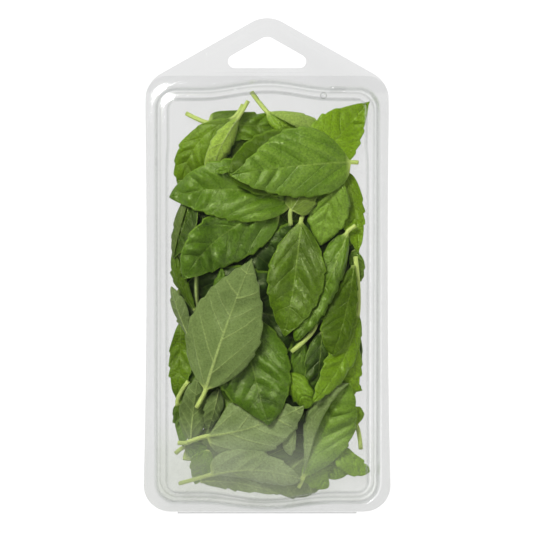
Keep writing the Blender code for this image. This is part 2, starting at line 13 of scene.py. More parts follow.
import bpy
import bmesh
import numpy as np
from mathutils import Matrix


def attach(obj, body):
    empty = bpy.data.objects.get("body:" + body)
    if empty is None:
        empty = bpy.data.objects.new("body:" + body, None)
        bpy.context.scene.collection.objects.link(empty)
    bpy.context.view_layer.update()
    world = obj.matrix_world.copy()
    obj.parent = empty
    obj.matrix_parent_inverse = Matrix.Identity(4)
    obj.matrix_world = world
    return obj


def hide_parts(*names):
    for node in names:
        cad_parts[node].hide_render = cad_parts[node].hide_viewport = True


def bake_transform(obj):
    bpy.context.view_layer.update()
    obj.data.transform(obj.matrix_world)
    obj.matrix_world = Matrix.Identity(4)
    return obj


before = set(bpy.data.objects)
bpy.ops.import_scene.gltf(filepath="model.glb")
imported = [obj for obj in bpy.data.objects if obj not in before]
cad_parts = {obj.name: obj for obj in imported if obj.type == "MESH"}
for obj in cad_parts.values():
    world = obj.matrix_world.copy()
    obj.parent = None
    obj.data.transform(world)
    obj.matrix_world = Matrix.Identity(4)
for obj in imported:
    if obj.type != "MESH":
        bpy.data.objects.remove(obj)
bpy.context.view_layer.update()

# %% [markdown]
# ## Units and tidy selection
#
# The pack is easiest to think about in millimetres, while Blender works in metres. Loading leaves
# the frame's nodes selected, and an edit operator would act on all of them, so nothing may stay
# selected before a new piece is added.

# %% Millimetres and a clean selection
MM = 0.001


def clean_slate():
    """Leave edit mode and select nothing."""
    if bpy.context.object and bpy.context.object.mode != "OBJECT":
        bpy.ops.object.mode_set(mode="OBJECT")
    bpy.ops.object.select_all(action="DESELECT")


def apply_all(piece):
    """Apply the piece's modifiers in order, so that its mesh is what is seen."""
    clean_slate()
    piece.select_set(True)
    bpy.context.view_layer.objects.active = piece
    for modifier in list(piece.modifiers):
        bpy.ops.object.modifier_apply(modifier=modifier.name)


clean_slate()
print("selected:", len(bpy.context.selected_objects))

# %% [markdown]
# ## Node helpers
#
# A finish is a small network of nodes. Written out one node at a time it is long and hard to read.
# Here a node's output is wrapped as a Signal, which can be added and multiplied like a number, and
# each sum adds its own Math node.

# %% Signals that write node networks


class Signal:
    """A node's output that varies over the surface."""

    def __init__(self, socket):
        self.socket = socket

    def __add__(self, other):
        return maths("ADD", self, other)

    def __sub__(self, other):
        return maths("SUBTRACT", self, other)

    def __rsub__(self, other):
        return maths("SUBTRACT", other, self)

    def __mul__(self, other):
        return maths("MULTIPLY", self, other)

    def __abs__(self):
        return maths("ABSOLUTE", self)


def join(socket, value):
    """Feed a socket from a signal, or set it."""
    if isinstance(value, Signal):
        socket.id_data.links.new(value.socket, socket)
    else:
        socket.default_value = value


def dial(node, **inputs):
    """Feed or set a node's inputs by name, with _ for a space."""
    for name, value in inputs.items():
        join(node.inputs[name.replace("_", " ")], value)
    return node


def add_node(tree, kind, **inputs):
    return dial(tree.nodes.new("ShaderNode" + kind), **inputs)


def tree_of(*values):
    """The tree that the first signal among the values belongs to."""
    return next(value.socket.id_data for value in values if isinstance(value, Signal))


def maths(operation, *values):
    """One Math node."""
    node = add_node(tree_of(*values), "Math")
    node.operation = operation
    for socket, value in zip(node.inputs, values):
        join(socket, value)
    return Signal(node.outputs[0])


def ramp(value, low, high, to_low=0.0, to_high=1.0):
    """A smooth step from low to high."""
    node = add_node(tree_of(value), "MapRange")
    node.interpolation_type = "SMOOTHSTEP"
    dial(node, Value=value, From_Min=low, From_Max=high, To_Min=to_low, To_Max=to_high)
    return Signal(node.outputs["Result"])


def blended(share, a, b):
    """Two colours mixed, b over a."""
    node = add_node(tree_of(share), "Mix")
    node.data_type = "RGBA"
    return Signal(dial(node, Factor=share, A=a, B=b).outputs["Result"])


def noise(vector, scale, detail=2.0, roughness=0.5):
    """A soft random pattern between 0 and 1."""
    node = add_node(tree_of(vector), "TexNoise", Vector=vector, Scale=scale, Detail=detail,
                    Roughness=roughness)
    return Signal(node.outputs["Fac"])


def reading(tree, name):
    """A value stored on the mesh."""
    node = add_node(tree, "Attribute")
    node.attribute_name = name
    return Signal(node.outputs["Fac"])


def coordinates(tree, kind):
    return Signal(add_node(tree, "TexCoord").outputs[kind])


def split(vector):
    """The x, y and z of a vector."""
    return [Signal(out) for out in add_node(tree_of(vector), "SeparateXYZ", Vector=vector).outputs]


def relief(height, strength, distance):
    """A height turned into a normal."""
    node = add_node(tree_of(height), "Bump", Height=height, Strength=strength, Distance=distance)
    return Signal(node.outputs["Normal"])


def veiled(share, a, b):
    """Two shaders mixed, b over a."""
    node = add_node(tree_of(share), "MixShader", Fac=share)
    for socket, shader in zip(node.inputs[1:], (a, b)):
        join(socket, Signal(shader.outputs[0]))
    return node


def new_group(name, outputs):
    """An empty group that puts out the named values, and its output node."""
    tree = bpy.data.node_groups.new(name, "ShaderNodeTree")
    for output in outputs:
        kind = "NodeSocketVector" if output == "Normal" else "NodeSocketFloat"
        tree.interface.new_socket(output, in_out="OUTPUT", socket_type=kind)
    return tree, tree.nodes.new("NodeGroupOutput")


def use_group(tree, group):
    """Place a group and give its outputs by name."""
    node = add_node(tree, "Group")
    node.node_tree = group
    return {out.name: Signal(out) for out in node.outputs}


def new_material(name):
    """A material with its tree and its Principled shader."""
    material = bpy.data.materials.new(name)
    material.use_nodes = True
    return material, material.node_tree, material.node_tree.nodes["Principled BSDF"]


def rgb(red, green, blue):
    """A colour given as it looks on a screen, 0 to 255, turned into light."""
    def light(value):
        value /= 255
        return value / 12.92 if value <= 0.04045 else ((value + 0.055) / 1.055) ** 2.4
    return (light(red), light(green), light(blue), 1.0)


print("leaf green as light:", [round(v, 3) for v in rgb(85, 138, 50)[:3]])

# %% [markdown]
# ## Camera, floor and light
#
# We look at the pack from straight above with a long lens, which keeps the walls from leaning
# outwards. The floor is white. The strongest soft box stands to the upper left, so that the leaf
# blades get a bright side and a dark side. A small one above it gives them a sheen, and a broad
# one on the other side softens the shadows.

# %% Camera straight above the window
scene = bpy.context.scene
camera_data = bpy.data.cameras.new("camera")
camera_data.lens = 200.0
camera_data.sensor_width = 36.0
camera_data.clip_end = 10.0
camera = bpy.data.objects.new("camera", camera_data)
camera.location = (-0.27 * MM, -0.34 * MM, 1.3418)
scene.collection.objects.link(camera)
scene.camera = camera
scene.view_settings.view_transform = "Standard"
scene.view_settings.look = "None"
scene.cycles.transparent_max_bounces = 40
print("camera height:", round(camera.location.z, 3))

# %% White floor
clean_slate()
bpy.ops.mesh.primitive_plane_add(size=4.0, location=(0, 0, -0.0004))
floor = bpy.context.object
floor.name = "floor"
floor_paint, _, floor_shader = new_material("floor_white")
dial(floor_shader, Base_Color=(0.12, 0.12, 0.12, 1.0), Emission_Color=(1.0, 1.0, 1.0, 1.0),
     Emission_Strength=0.93, Roughness=0.9, Specular_IOR_Level=0.0)
floor.data.materials.append(floor_paint)
print("floor at", floor.location.z)

# %% Soft boxes and a dim sky


def soft_box(name, place, size, power):
    """A square area light that faces the pack."""
    data = bpy.data.lights.new(name, "AREA")
    data.shape = "SQUARE"
    data.size = size
    data.energy = power
    lamp = bpy.data.objects.new(name, data)
    lamp.location = place
    away = -np.array(place) / np.linalg.norm(place)
    lamp.rotation_euler = (
        math.acos(-away[2]),
        0.0,
        math.atan2(away[1], away[0]) - math.pi / 2,
    )
    scene.collection.objects.link(lamp)
    return lamp


key = soft_box("key_light", (-0.6, 0.8, 1.1), 0.45, 23.5)
sheen = soft_box("sheen_light", (-0.33, 0.4, 1.5), 0.3, 5.0)
fill = soft_box("fill_light", (0.8, -0.5, 1.2), 1.0, 8.0)
sky = bpy.data.worlds.new("studio")
sky.use_nodes = True
upwards = split(coordinates(sky.node_tree, "Generated"))[2]
dial(sky.node_tree.nodes["Background"], Color=ramp(upwards, 0.05, 0.75, 0.55, 0.06), Strength=1.0)
scene.world = sky
print("lights:", key.name, sheen.name, fill.name)

# %% [markdown]
# ## The plastic's outlines
#
# Every wall of the pack follows one kind of outline: a rounded rectangle whose top and foot bow
# outwards. The hang tab is the same outline with two slopes and a round apex on top. If all the
# outlines have the same number of points, a wall is simply one outline joined to the next.

# %% Outlines with matching points
SHEET = 0.5
HALF_WIDTH = 54.0
WAIST_TOP = 0.6
WAIST_FOOT = 1.2
FOOT_Y = -110.05
FOOT_RADIUS = 12.0
LID_TOP_Y = 85.0
LID_TOP_RADIUS = 10.0
SHOULDER_RADIUS = 13.0
TAB_SLOPE = math.radians(29.5)
TAB_REACH = 98.3
TAB_APEX_RADIUS = 14.0
BOW_SPAN = 30.0
ARC = 11
BOW = 31
SIDE = 30


def arc(centre, radius, start, end, count=ARC):
    angles = np.linspace(start, end, count)
    return [(centre[0] + radius * math.cos(a), centre[1] + radius * math.sin(a)) for a in angles]


def bow_at(x, height):
    return height * 0.5 * (1 + math.cos(math.pi * min(abs(x) / BOW_SPAN, 1.0)))


def flare(point):
    """The sides of the flanges widen towards both ends."""
    x, y = point
    reach = WAIST_TOP * (y / 78.0) ** 2 if y > 0 else WAIST_FOOT * (y / 98.0) ** 2
    return (x * (1 + reach / HALF_WIDTH), y)


def side(x, high, low):
    """Points down one side, corners left out."""
    return [(x, y) for y in np.linspace(high, low, SIDE + 2)[1:-1]]


def lower_part(half, high, foot_y, foot_bow, radius):
    """The left side, the foot and the right side, anticlockwise."""
    low = foot_y + radius
    points = side(-half, high, low)
    points += arc((-half + radius, low), radius, math.pi, 1.5 * math.pi)
    points += [(x, foot_y - bow_at(x, foot_bow)) for x in np.linspace(-BOW_SPAN, BOW_SPAN, BOW)]
    points += arc((half - radius, low), radius, -0.5 * math.pi, 0.0)
    return points + side(half, low, high)


def wall_ring(half, top_y, top_bow, foot_y, foot_bow, radius):
    high = top_y - radius
    points = lower_part(half, high, foot_y, foot_bow, radius)
    points += arc((half - radius, high), radius, 0.0, 0.5 * math.pi)
    points += [(x, top_y + bow_at(x, top_bow)) for x in np.linspace(BOW_SPAN, -BOW_SPAN, BOW)]
    return points + arc((-half + radius, high), radius, 0.5 * math.pi, math.pi)


def lid_ring():
    ring = wall_ring(HALF_WIDTH, LID_TOP_Y, 0.0, FOOT_Y, 0.0, FOOT_RADIUS)
    first = 2 * SIDE + 2 * ARC + BOW
    upper = arc((HALF_WIDTH - LID_TOP_RADIUS, LID_TOP_Y - LID_TOP_RADIUS), LID_TOP_RADIUS, 0, math.pi / 2)
    ring[first:first + ARC] = upper
    ring[first + ARC + BOW:] = [(-x, y) for x, y in reversed(upper)]
    return [flare(p) for p in ring]


def tab_height(x):
    """Upper edge of the hang tab: two slopes and a rounded apex."""
    if abs(x) > TAB_APEX_RADIUS * math.sin(TAB_SLOPE):
        return (TAB_REACH - abs(x) * math.sin(TAB_SLOPE)) / math.cos(TAB_SLOPE)
    centre = (TAB_REACH - TAB_APEX_RADIUS) / math.cos(TAB_SLOPE)
    return centre + math.sqrt(TAB_APEX_RADIUS ** 2 - x ** 2)


def tray_ring():
    cx = HALF_WIDTH + 0.4 - SHOULDER_RADIUS
    cy = (TAB_REACH - SHOULDER_RADIUS - cx * math.sin(TAB_SLOPE)) / math.cos(TAB_SLOPE)
    shoulder = arc((cx, cy), SHOULDER_RADIUS, 0.0, math.pi / 2 - TAB_SLOPE)
    points = [flare(p) for p in lower_part(HALF_WIDTH, cy, FOOT_Y, 0.0, FOOT_RADIUS)]
    spots = np.concatenate([np.linspace(36, 8.5, 8), np.linspace(6.9, -6.9, BOW - 16),
                            np.linspace(-8.5, -36, 8)])
    tab = [(x, tab_height(x)) for x in spots]
    return points + shoulder + tab + [(-x, y) for x, y in reversed(shoulder)]


def rounded_triangle(apex, foot, count=ARC):
    corner = arc(foot[:2], foot[2], -math.pi / 2, math.pi / 2 - TAB_SLOPE, count)
    top = arc(apex[:2], apex[2], math.pi / 2 - TAB_SLOPE, math.pi / 2 + TAB_SLOPE, count)
    return corner + top + [(-x, y) for x, y in reversed(corner)]


print("points in an outline:", len(lid_ring()), len(tray_ring()))

# %% [markdown]
# ## Thermoformed shells
#
# A thermoformed wall has no sharp corner, because the warm sheet bridges across it. Each shell
# starts as a circle of loose vertices. It is extruded once for every outline and the new ring is
# put in its place, then the last ring is closed into the flat floor or window. Between the main
# outlines extra rings round every corner off. Solidify gives the sheet its thickness.

# %% Shells from extruded rings
CORNER_STEPS = 4


def rounded(rings, radius):
    """Replace every inner ring by a few that turn the corner softly."""
    rings = [np.array([(x, y, z) for x, y in ring]) for ring, z in rings]
    smooth = [rings[0]]
    for before, here, after in zip(rings, rings[1:], rings[2:]):
        back = before - here
        ahead = after - here
        back_length = np.linalg.norm(back, axis=1, keepdims=True)
        ahead_length = np.linalg.norm(ahead, axis=1, keepdims=True)
        start = here + back / back_length * np.minimum(radius, back_length * 0.45)
        end = here + ahead / ahead_length * np.minimum(radius, ahead_length * 0.45)
        for t in np.linspace(0, 1, CORNER_STEPS):
            smooth.append((1 - t) ** 2 * start + 2 * t * (1 - t) * here + t ** 2 * end)
    smooth.append(rings[-1])
    return smooth


def open_outline(name, places, fill):
    """A circle whose vertices are put at the places, open in edit mode and selected all over."""
    clean_slate()
    bpy.ops.mesh.primitive_circle_add(vertices=len(places), radius=0.05, fill_type=fill)
    piece = bpy.context.object
    piece.name = name
    piece.data.name = name
    for vertex, place in zip(piece.data.vertices, places):
        vertex.co = np.array(place) * MM
    bpy.ops.object.mode_set(mode="EDIT")
    bpy.ops.mesh.select_all(action="SELECT")
    return piece


def close_up(piece):
    """Point all faces outwards and leave edit mode."""
    bpy.ops.mesh.select_all(action="SELECT")
    bpy.ops.mesh.normals_make_consistent(inside=False)
    bpy.ops.object.mode_set(mode="OBJECT")
    return piece


def shell(name, rings):
    """A shell through the rings, from its outer edge to its flat last face."""
    piece = open_outline(name, rings[0], "NOTHING")
    for before, ring in zip(rings, rings[1:]):
        bpy.ops.mesh.extrude_edges_move()
        mesh = bmesh.from_edit_mesh(piece.data)
        for vertex in [v for v in mesh.verts if v.select]:
            apart = np.abs(before * MM - np.array(vertex.co)).sum(axis=1)
            vertex.co = ring[int(apart.argmin())] * MM
        bmesh.update_edit_mesh(piece.data)
    bpy.ops.mesh.edge_face_add()
    return close_up(piece)


def face_up(piece):
    """The last, flat face must look up, so that Solidify puts the wall under it."""
    flat = max(piece.data.polygons, key=lambda p: p.area)
    if flat.normal.z < 0:
        piece.data.flip_normals()


def thicken(piece, thickness, offset):
    """Give a sheet its thickness, on one side of it (-1) or both (0)."""
    wall = piece.modifiers.new("wall", "SOLIDIFY")
    wall.thickness = thickness * MM
    wall.offset = offset
    wall.use_even_offset = True


print("corner steps:", CORNER_STEPS)

# %% The tray with its hang tab
TRAY_FLANGE_Z = 16.0
LID_FLANGE_Z = 16.8
LEDGE_Z = 20.4
WINDOW_Z = 24.8
RING_FLANGE = (50.3, 80.0, 3.3, -106.4, 2.6, 9.5)
RING_BAND = (48.8, 78.2, 3.1, -104.9, 2.5, 8.0)
RING_WALL_FOOT = (45.4, 75.1, 3.2, -101.6, 3.5, 5.8)
RING_WINDOW = (44.2, 73.5, 3.2, -100.4, 3.4, 3.8)
RING_TRAY_FOOT = (48.6, 78.4, 3.0, -104.8, 2.4, 8.5)
RING_TRAY_FLOOR = (47.2, 77.0, 3.0, -103.4, 2.4, 7.2)
tray = shell("tray_shell", rounded([
    (tray_ring(), TRAY_FLANGE_Z),
    (wall_ring(*RING_FLANGE), TRAY_FLANGE_Z),
    (wall_ring(*RING_TRAY_FOOT), SHEET + 1.2),
    (wall_ring(*RING_TRAY_FLOOR), SHEET),
], 1.0))
face_up(tray)
thicken(tray, SHEET, -1.0)
print("tray faces:", len(tray.data.polygons))

# %% [markdown]
# ## The hang hole and its bead
#
# The tab hangs on a peg through a rounded triangular hole. A raised bead runs around the hole and
# stiffens the tab. The bead is a thin tube bent along its outline, joined to the sheet, and the
# hole is cut last, so that its edge is clean.

# %% Bead and hole in the tab
HOLE_APEX = (0.0, 97.5, 5.0)
HOLE_FOOT = (14.6, 91.5, 3.0)
BEAD_APEX = (0.0, 96.9, 10.5)
BEAD_FOOT = (24.7, 90.9, 3.6)
BEAD_RADIUS = 0.95


def tube_along(name, outline, z, radius):
    """A closed round tube, made a mesh."""
    path = bpy.data.curves.new(name, "CURVE")
    path.dimensions = "3D"
    path.bevel_depth = radius * MM
    path.bevel_resolution = 3
    line = path.splines.new("POLY")
    line.points.add(len(outline) - 1)
    for point, (x, y) in zip(line.points, outline):
        point.co = (x * MM, y * MM, z * MM, 1.0)
    line.use_cyclic_u = True
    source = bpy.data.objects.new(name + "_path", path)
    scene.collection.objects.link(source)
    bpy.context.view_layer.update()
    graph = bpy.context.evaluated_depsgraph_get()
    mesh = bpy.data.meshes.new_from_object(source.evaluated_get(graph))
    bpy.data.objects.remove(source, do_unlink=True)
    tube = bpy.data.objects.new(name, mesh)
    scene.collection.objects.link(tube)
    return tube


def prism(name, outline, low, high):
    """A flat outline extruded between two heights."""
    piece = open_outline(name, [(x, y, low) for x, y in outline], "NGON")
    bpy.ops.mesh.extrude_region_move(TRANSFORM_OT_translate={"value": (0, 0, (high - low) * MM)})
    return close_up(piece)


def combine(piece, tool, operation):
    """One exact Boolean, applied, and its tool removed."""
    change = piece.modifiers.new(operation.lower(), "BOOLEAN")
    change.operation = operation
    change.solver = "EXACT"
    change.object = tool
    apply_all(piece)
    bpy.data.objects.remove(tool, do_unlink=True)


sheet_middle = TRAY_FLANGE_Z - SHEET / 2
bead = tube_along("bead", rounded_triangle(BEAD_APEX, BEAD_FOOT, 7), sheet_middle, BEAD_RADIUS)
apply_all(tray)
combine(tray, bead, "UNION")
hole_outline = rounded_triangle(HOLE_APEX, HOLE_FOOT, 7)
combine(tray, prism("hang_hole", hole_outline, sheet_middle - 3, sheet_middle + 3), "DIFFERENCE")
print("tray triangles:", sum(len(p.vertices) - 2 for p in tray.data.polygons))

# %% [markdown]
# ## The lid
#
# The lid is drawn from the same sheet: a flat flange, a low step that grips the tray, a ledge, and
# the raised window. Its walls step in by half a millimetre part way up the sides, where the mould
# has a parting line.

# %% The lid shell
JOG = 0.55
JOG_Y = 48.5


def jogged(ring):
    """The upper part of the window's side walls stands in a little."""
    moved = []
    for x, y in ring:
        inward = JOG / (1 + math.exp(-(y - JOG_Y) / 0.35)) if abs(x) > 40 else 0.0
        moved.append((x - math.copysign(inward, x), y))
    return moved


lid = shell("lid_shell", rounded([
    (lid_ring(), LID_FLANGE_Z),
    (wall_ring(*RING_FLANGE), LID_FLANGE_Z),
    (wall_ring(*RING_BAND), LEDGE_Z),
    (jogged(wall_ring(*RING_WALL_FOOT)), LEDGE_Z),
    (jogged(wall_ring(*RING_WINDOW)), WINDOW_Z),
], 1.1))
face_up(lid)
thicken(lid, SHEET, -1.0)
apply_all(lid)
print("lid faces:", len(lid.data.polygons))

# %% The snaps near the lid's upper corner
clean_slate()
bpy.ops.mesh.primitive_cube_add(size=1.0, location=(31.5 * MM, 78.6 * MM, (LEDGE_Z + 0.1) * MM),
                                scale=(6.7 * MM, 2.6 * MM, 1.2 * MM))
snap_bar = bpy.context.object
snap_bar.name = "snap_bar"
bpy.ops.object.transform_apply(location=True, rotation=True, scale=True)
soft_edge = snap_bar.modifiers.new("soft_edge", "BEVEL")
soft_edge.width = 0.45 * MM
soft_edge.segments = 4
apply_all(snap_bar)
clean_slate()
bpy.ops.mesh.primitive_uv_sphere_add(segments=32, ring_count=16, radius=1.6 * MM,
                                     location=(25.2 * MM, 76.0 * MM, (LEDGE_Z - 0.9) * MM))
snap_button = bpy.context.object
snap_button.name = "snap_button"
bpy.ops.object.transform_apply(location=True, rotation=True, scale=True)
print("snaps:", snap_bar.name, snap_button.name)

# %% [markdown]
# ## The crease at the foot
#
# The tray's flange and the lid's flange are one sheet, creased between them. When the lid opens
# the crease unrolls. Here a narrow strip bent round from one flange to the other stands for the
# crease, in its closed shape; it is tied to neither the tray nor the lid.

# %% The living hinge strip
HINGE_Y = -110.6
HINGE_Z = 16.15
STRIP_HALF = 40.0
clean_slate()
bpy.ops.mesh.primitive_grid_add(x_subdivisions=2, y_subdivisions=12, size=1.0)
hinge_strip = bpy.context.object
hinge_strip.name = "hinge_strip"
for vertex in hinge_strip.data.vertices:
    along = vertex.co.y + 0.5
    turn = -math.pi / 2 - math.pi * along
    reach = 0.62
    vertex.co = (vertex.co.x * 2 * STRIP_HALF * MM,
                 (HINGE_Y + 0.42 + reach * math.cos(turn)) * MM,
                 (HINGE_Z + 0.42 * math.sin(turn)) * MM)
thicken(hinge_strip, 0.22, 0.0)
apply_all(hinge_strip)
print("strip lowest y:", round(min(v.co.y for v in hinge_strip.data.vertices) * 1000, 2))

# %% [markdown]
# ## Clear plastic
#
# Thin clear plastic hardly shows where it is flat and faces us. It shows where it turns away: the
# walls mirror the room and look grey, because light has a long way through the sheet. So the
# finish lets light straight through with a slight grey tint, darker towards glancing angles, and
# mixes in a mirror that grows as the sheet is seen edge on. A faint ripple breaks up the
# reflections, as a formed sheet does. Moist leaves mist the foot of the window, which is a pale
# veil mixed over the sheet. Bending the light as real glass does would add noise and dark shadows
# for no visible gain here.

# %% The plastic's tint and haze, as a node group


def plastic_group():
    """Ripples for the normal, and masks of fog, specks, thick sheet and folds."""
    tree, out = new_group("plastic_sheet", ("Normal", "Fog", "Specks", "Thick", "Fold"))
    place = coordinates(tree, "Object")
    x, y, z = split(place)
    ripple = noise(place, 45.0) + noise(place, 900.0, 2.0, 0.6) * 0.03
    patches = ramp(noise(place, 32.0, 4.0, 0.6), 0.25, 0.75, 0.55, 1.0)
    low = ramp(y, -0.064, -0.092)
    left = ramp(x, 0.050, -0.048, 0.42, 1.08)
    on_flange = ramp(abs(z - TRAY_FLANGE_Z * MM), 0.0045, 0.0012)
    steep = abs(abs(split(coordinates(tree, "Normal"))[2]) - 0.5)
    dial(out, Normal=relief(ripple, 0.5, 0.0006), Specks=ramp(noise(place, 2600.0, 1.0), 0.70, 0.78),
         Fog=low * left * patches * ramp(on_flange, 0.0, 1.0, 1.0, 0.2),
         Thick=on_flange * ramp(y, 0.0765, 0.0785, 0.4, 1.0), Fold=ramp(steep, 0.28, 0.1))
    return tree


PLASTIC_GROUP = plastic_group()


def grey(value, green=0.0):
    """A neutral tint, a touch greener if asked."""
    return (value, value + green, value, 1.0)


def plastic(name, flat_tint, glancing_tint, flange_tint, fog_share):
    """Clear sheet: see-through, tinted and mirrored by angle, fogged by the group's mask."""
    material, tree, veil = new_material(name)
    sheet = use_group(tree, PLASTIC_GROUP)
    facing = Signal(add_node(tree, "LayerWeight", Blend=0.5).outputs["Facing"])
    tint = blended(ramp(facing, 0.1, 0.9), flat_tint, glancing_tint)
    tint = blended(sheet["Thick"], tint, flange_tint)
    tint = blended(sheet["Fold"], tint, grey(0.80, 0.005))
    dial(veil, Base_Color=(0.44, 0.48, 0.36, 1.0), Roughness=0.5, Specular_IOR_Level=0.2)
    mirror = add_node(tree, "BsdfGlossy", Color=grey(1.0), Roughness=0.09, Normal=sheet["Normal"])
    share = sheet["Fog"] * fog_share + sheet["Specks"] * 0.05
    share.socket.node.use_clamp = True
    fogged = veiled(share, add_node(tree, "BsdfTransparent", Color=tint), veil)
    glossed = veiled(maths("POWER", facing, 5.0) * 0.5 + 0.03, fogged, mirror)
    dial(tree.nodes["Material Output"], Surface=Signal(glossed.outputs[0]))
    return material


LID_PLASTIC = plastic("lid_plastic", grey(0.975, 0.001), grey(0.93, 0.005), (0.972, 0.973, 0.973, 1), 0.27)
TRAY_PLASTIC = plastic("tray_plastic", grey(0.93, 0.001), grey(0.92, 0.005), (0.885, 0.886, 0.886, 1), 0.0)
print("plastics:", LID_PLASTIC.name, TRAY_PLASTIC.name)

# %% Dress the pack and tie it to the frame
for piece, paint, body in ((tray, TRAY_PLASTIC, "tray"), (lid, LID_PLASTIC, "lid"),
                           (snap_bar, LID_PLASTIC, "lid"), (snap_button, LID_PLASTIC, "lid"),
                           (hinge_strip, TRAY_PLASTIC, None)):
    piece.data.materials.clear()
    piece.data.materials.append(paint)
    clean_slate()
    piece.select_set(True)
    bpy.context.view_layer.objects.active = piece
    bpy.ops.object.shade_smooth_by_angle(angle=math.radians(35))
    if body:
        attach(piece, body)
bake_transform(hinge_strip)
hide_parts("tray")
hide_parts("lid")
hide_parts("living_hinge")
print("plastic pieces in place")

# %% [markdown]
# ## Basil leaves: the plan
#
# A basil leaf is an oval blade with a short point, a row of small teeth, and a stalk that runs on
# as the midrib. Four to seven curved side veins leave the midrib on each side. Between them the
# blade puffs up towards its glossy face, and the veins stand out on its pale underside. Each leaf
# is given by a few measures in millimetres: where its stalk ends, where the blade begins and where
# its tip lies, how far the midrib bows, and how wide each half is. They are listed in the order in
# which they lie on each other, from the bottom of the tray up.

# %% What one leaf is
Leaf = namedtuple("Leaf", "up stalk base tip bow widths peaks blunts curls arch tone lit")


def leaf(up, stalk, base, tip, bow, left, right, peak=0.42, blunt=0.8, curl=-25, arch=3,
         tone=0.5, lit=0.0):
    """up 'T' shows the glossy face and 'U' the pale underside; lengths in mm, angles in degrees.

    left and right are half widths seen from the base towards the tip, and bow moves the midrib's
    middle to the left. peak is where a half is widest and blunt how round its tip is, each for
    both halves or as (left, right). curl bends each half across (over 120 folds it back). The tone
    is 0 for a dark leaf and 1 for a light one; it is partly the leaf's own colour and partly painted
    light and shade, darker for leaves deep in the pile. The last number is painted backlight: how
    much yellow-green, as if light shone through the leaf, is painted into its colour.
    """
    halves = [(right, left)]
    halves += [value[::-1] if isinstance(value, tuple) else (value, value) for value in (peak, blunt, curl)]
    return Leaf(up, stalk, base, tip, bow, *halves, arch, tone, lit)
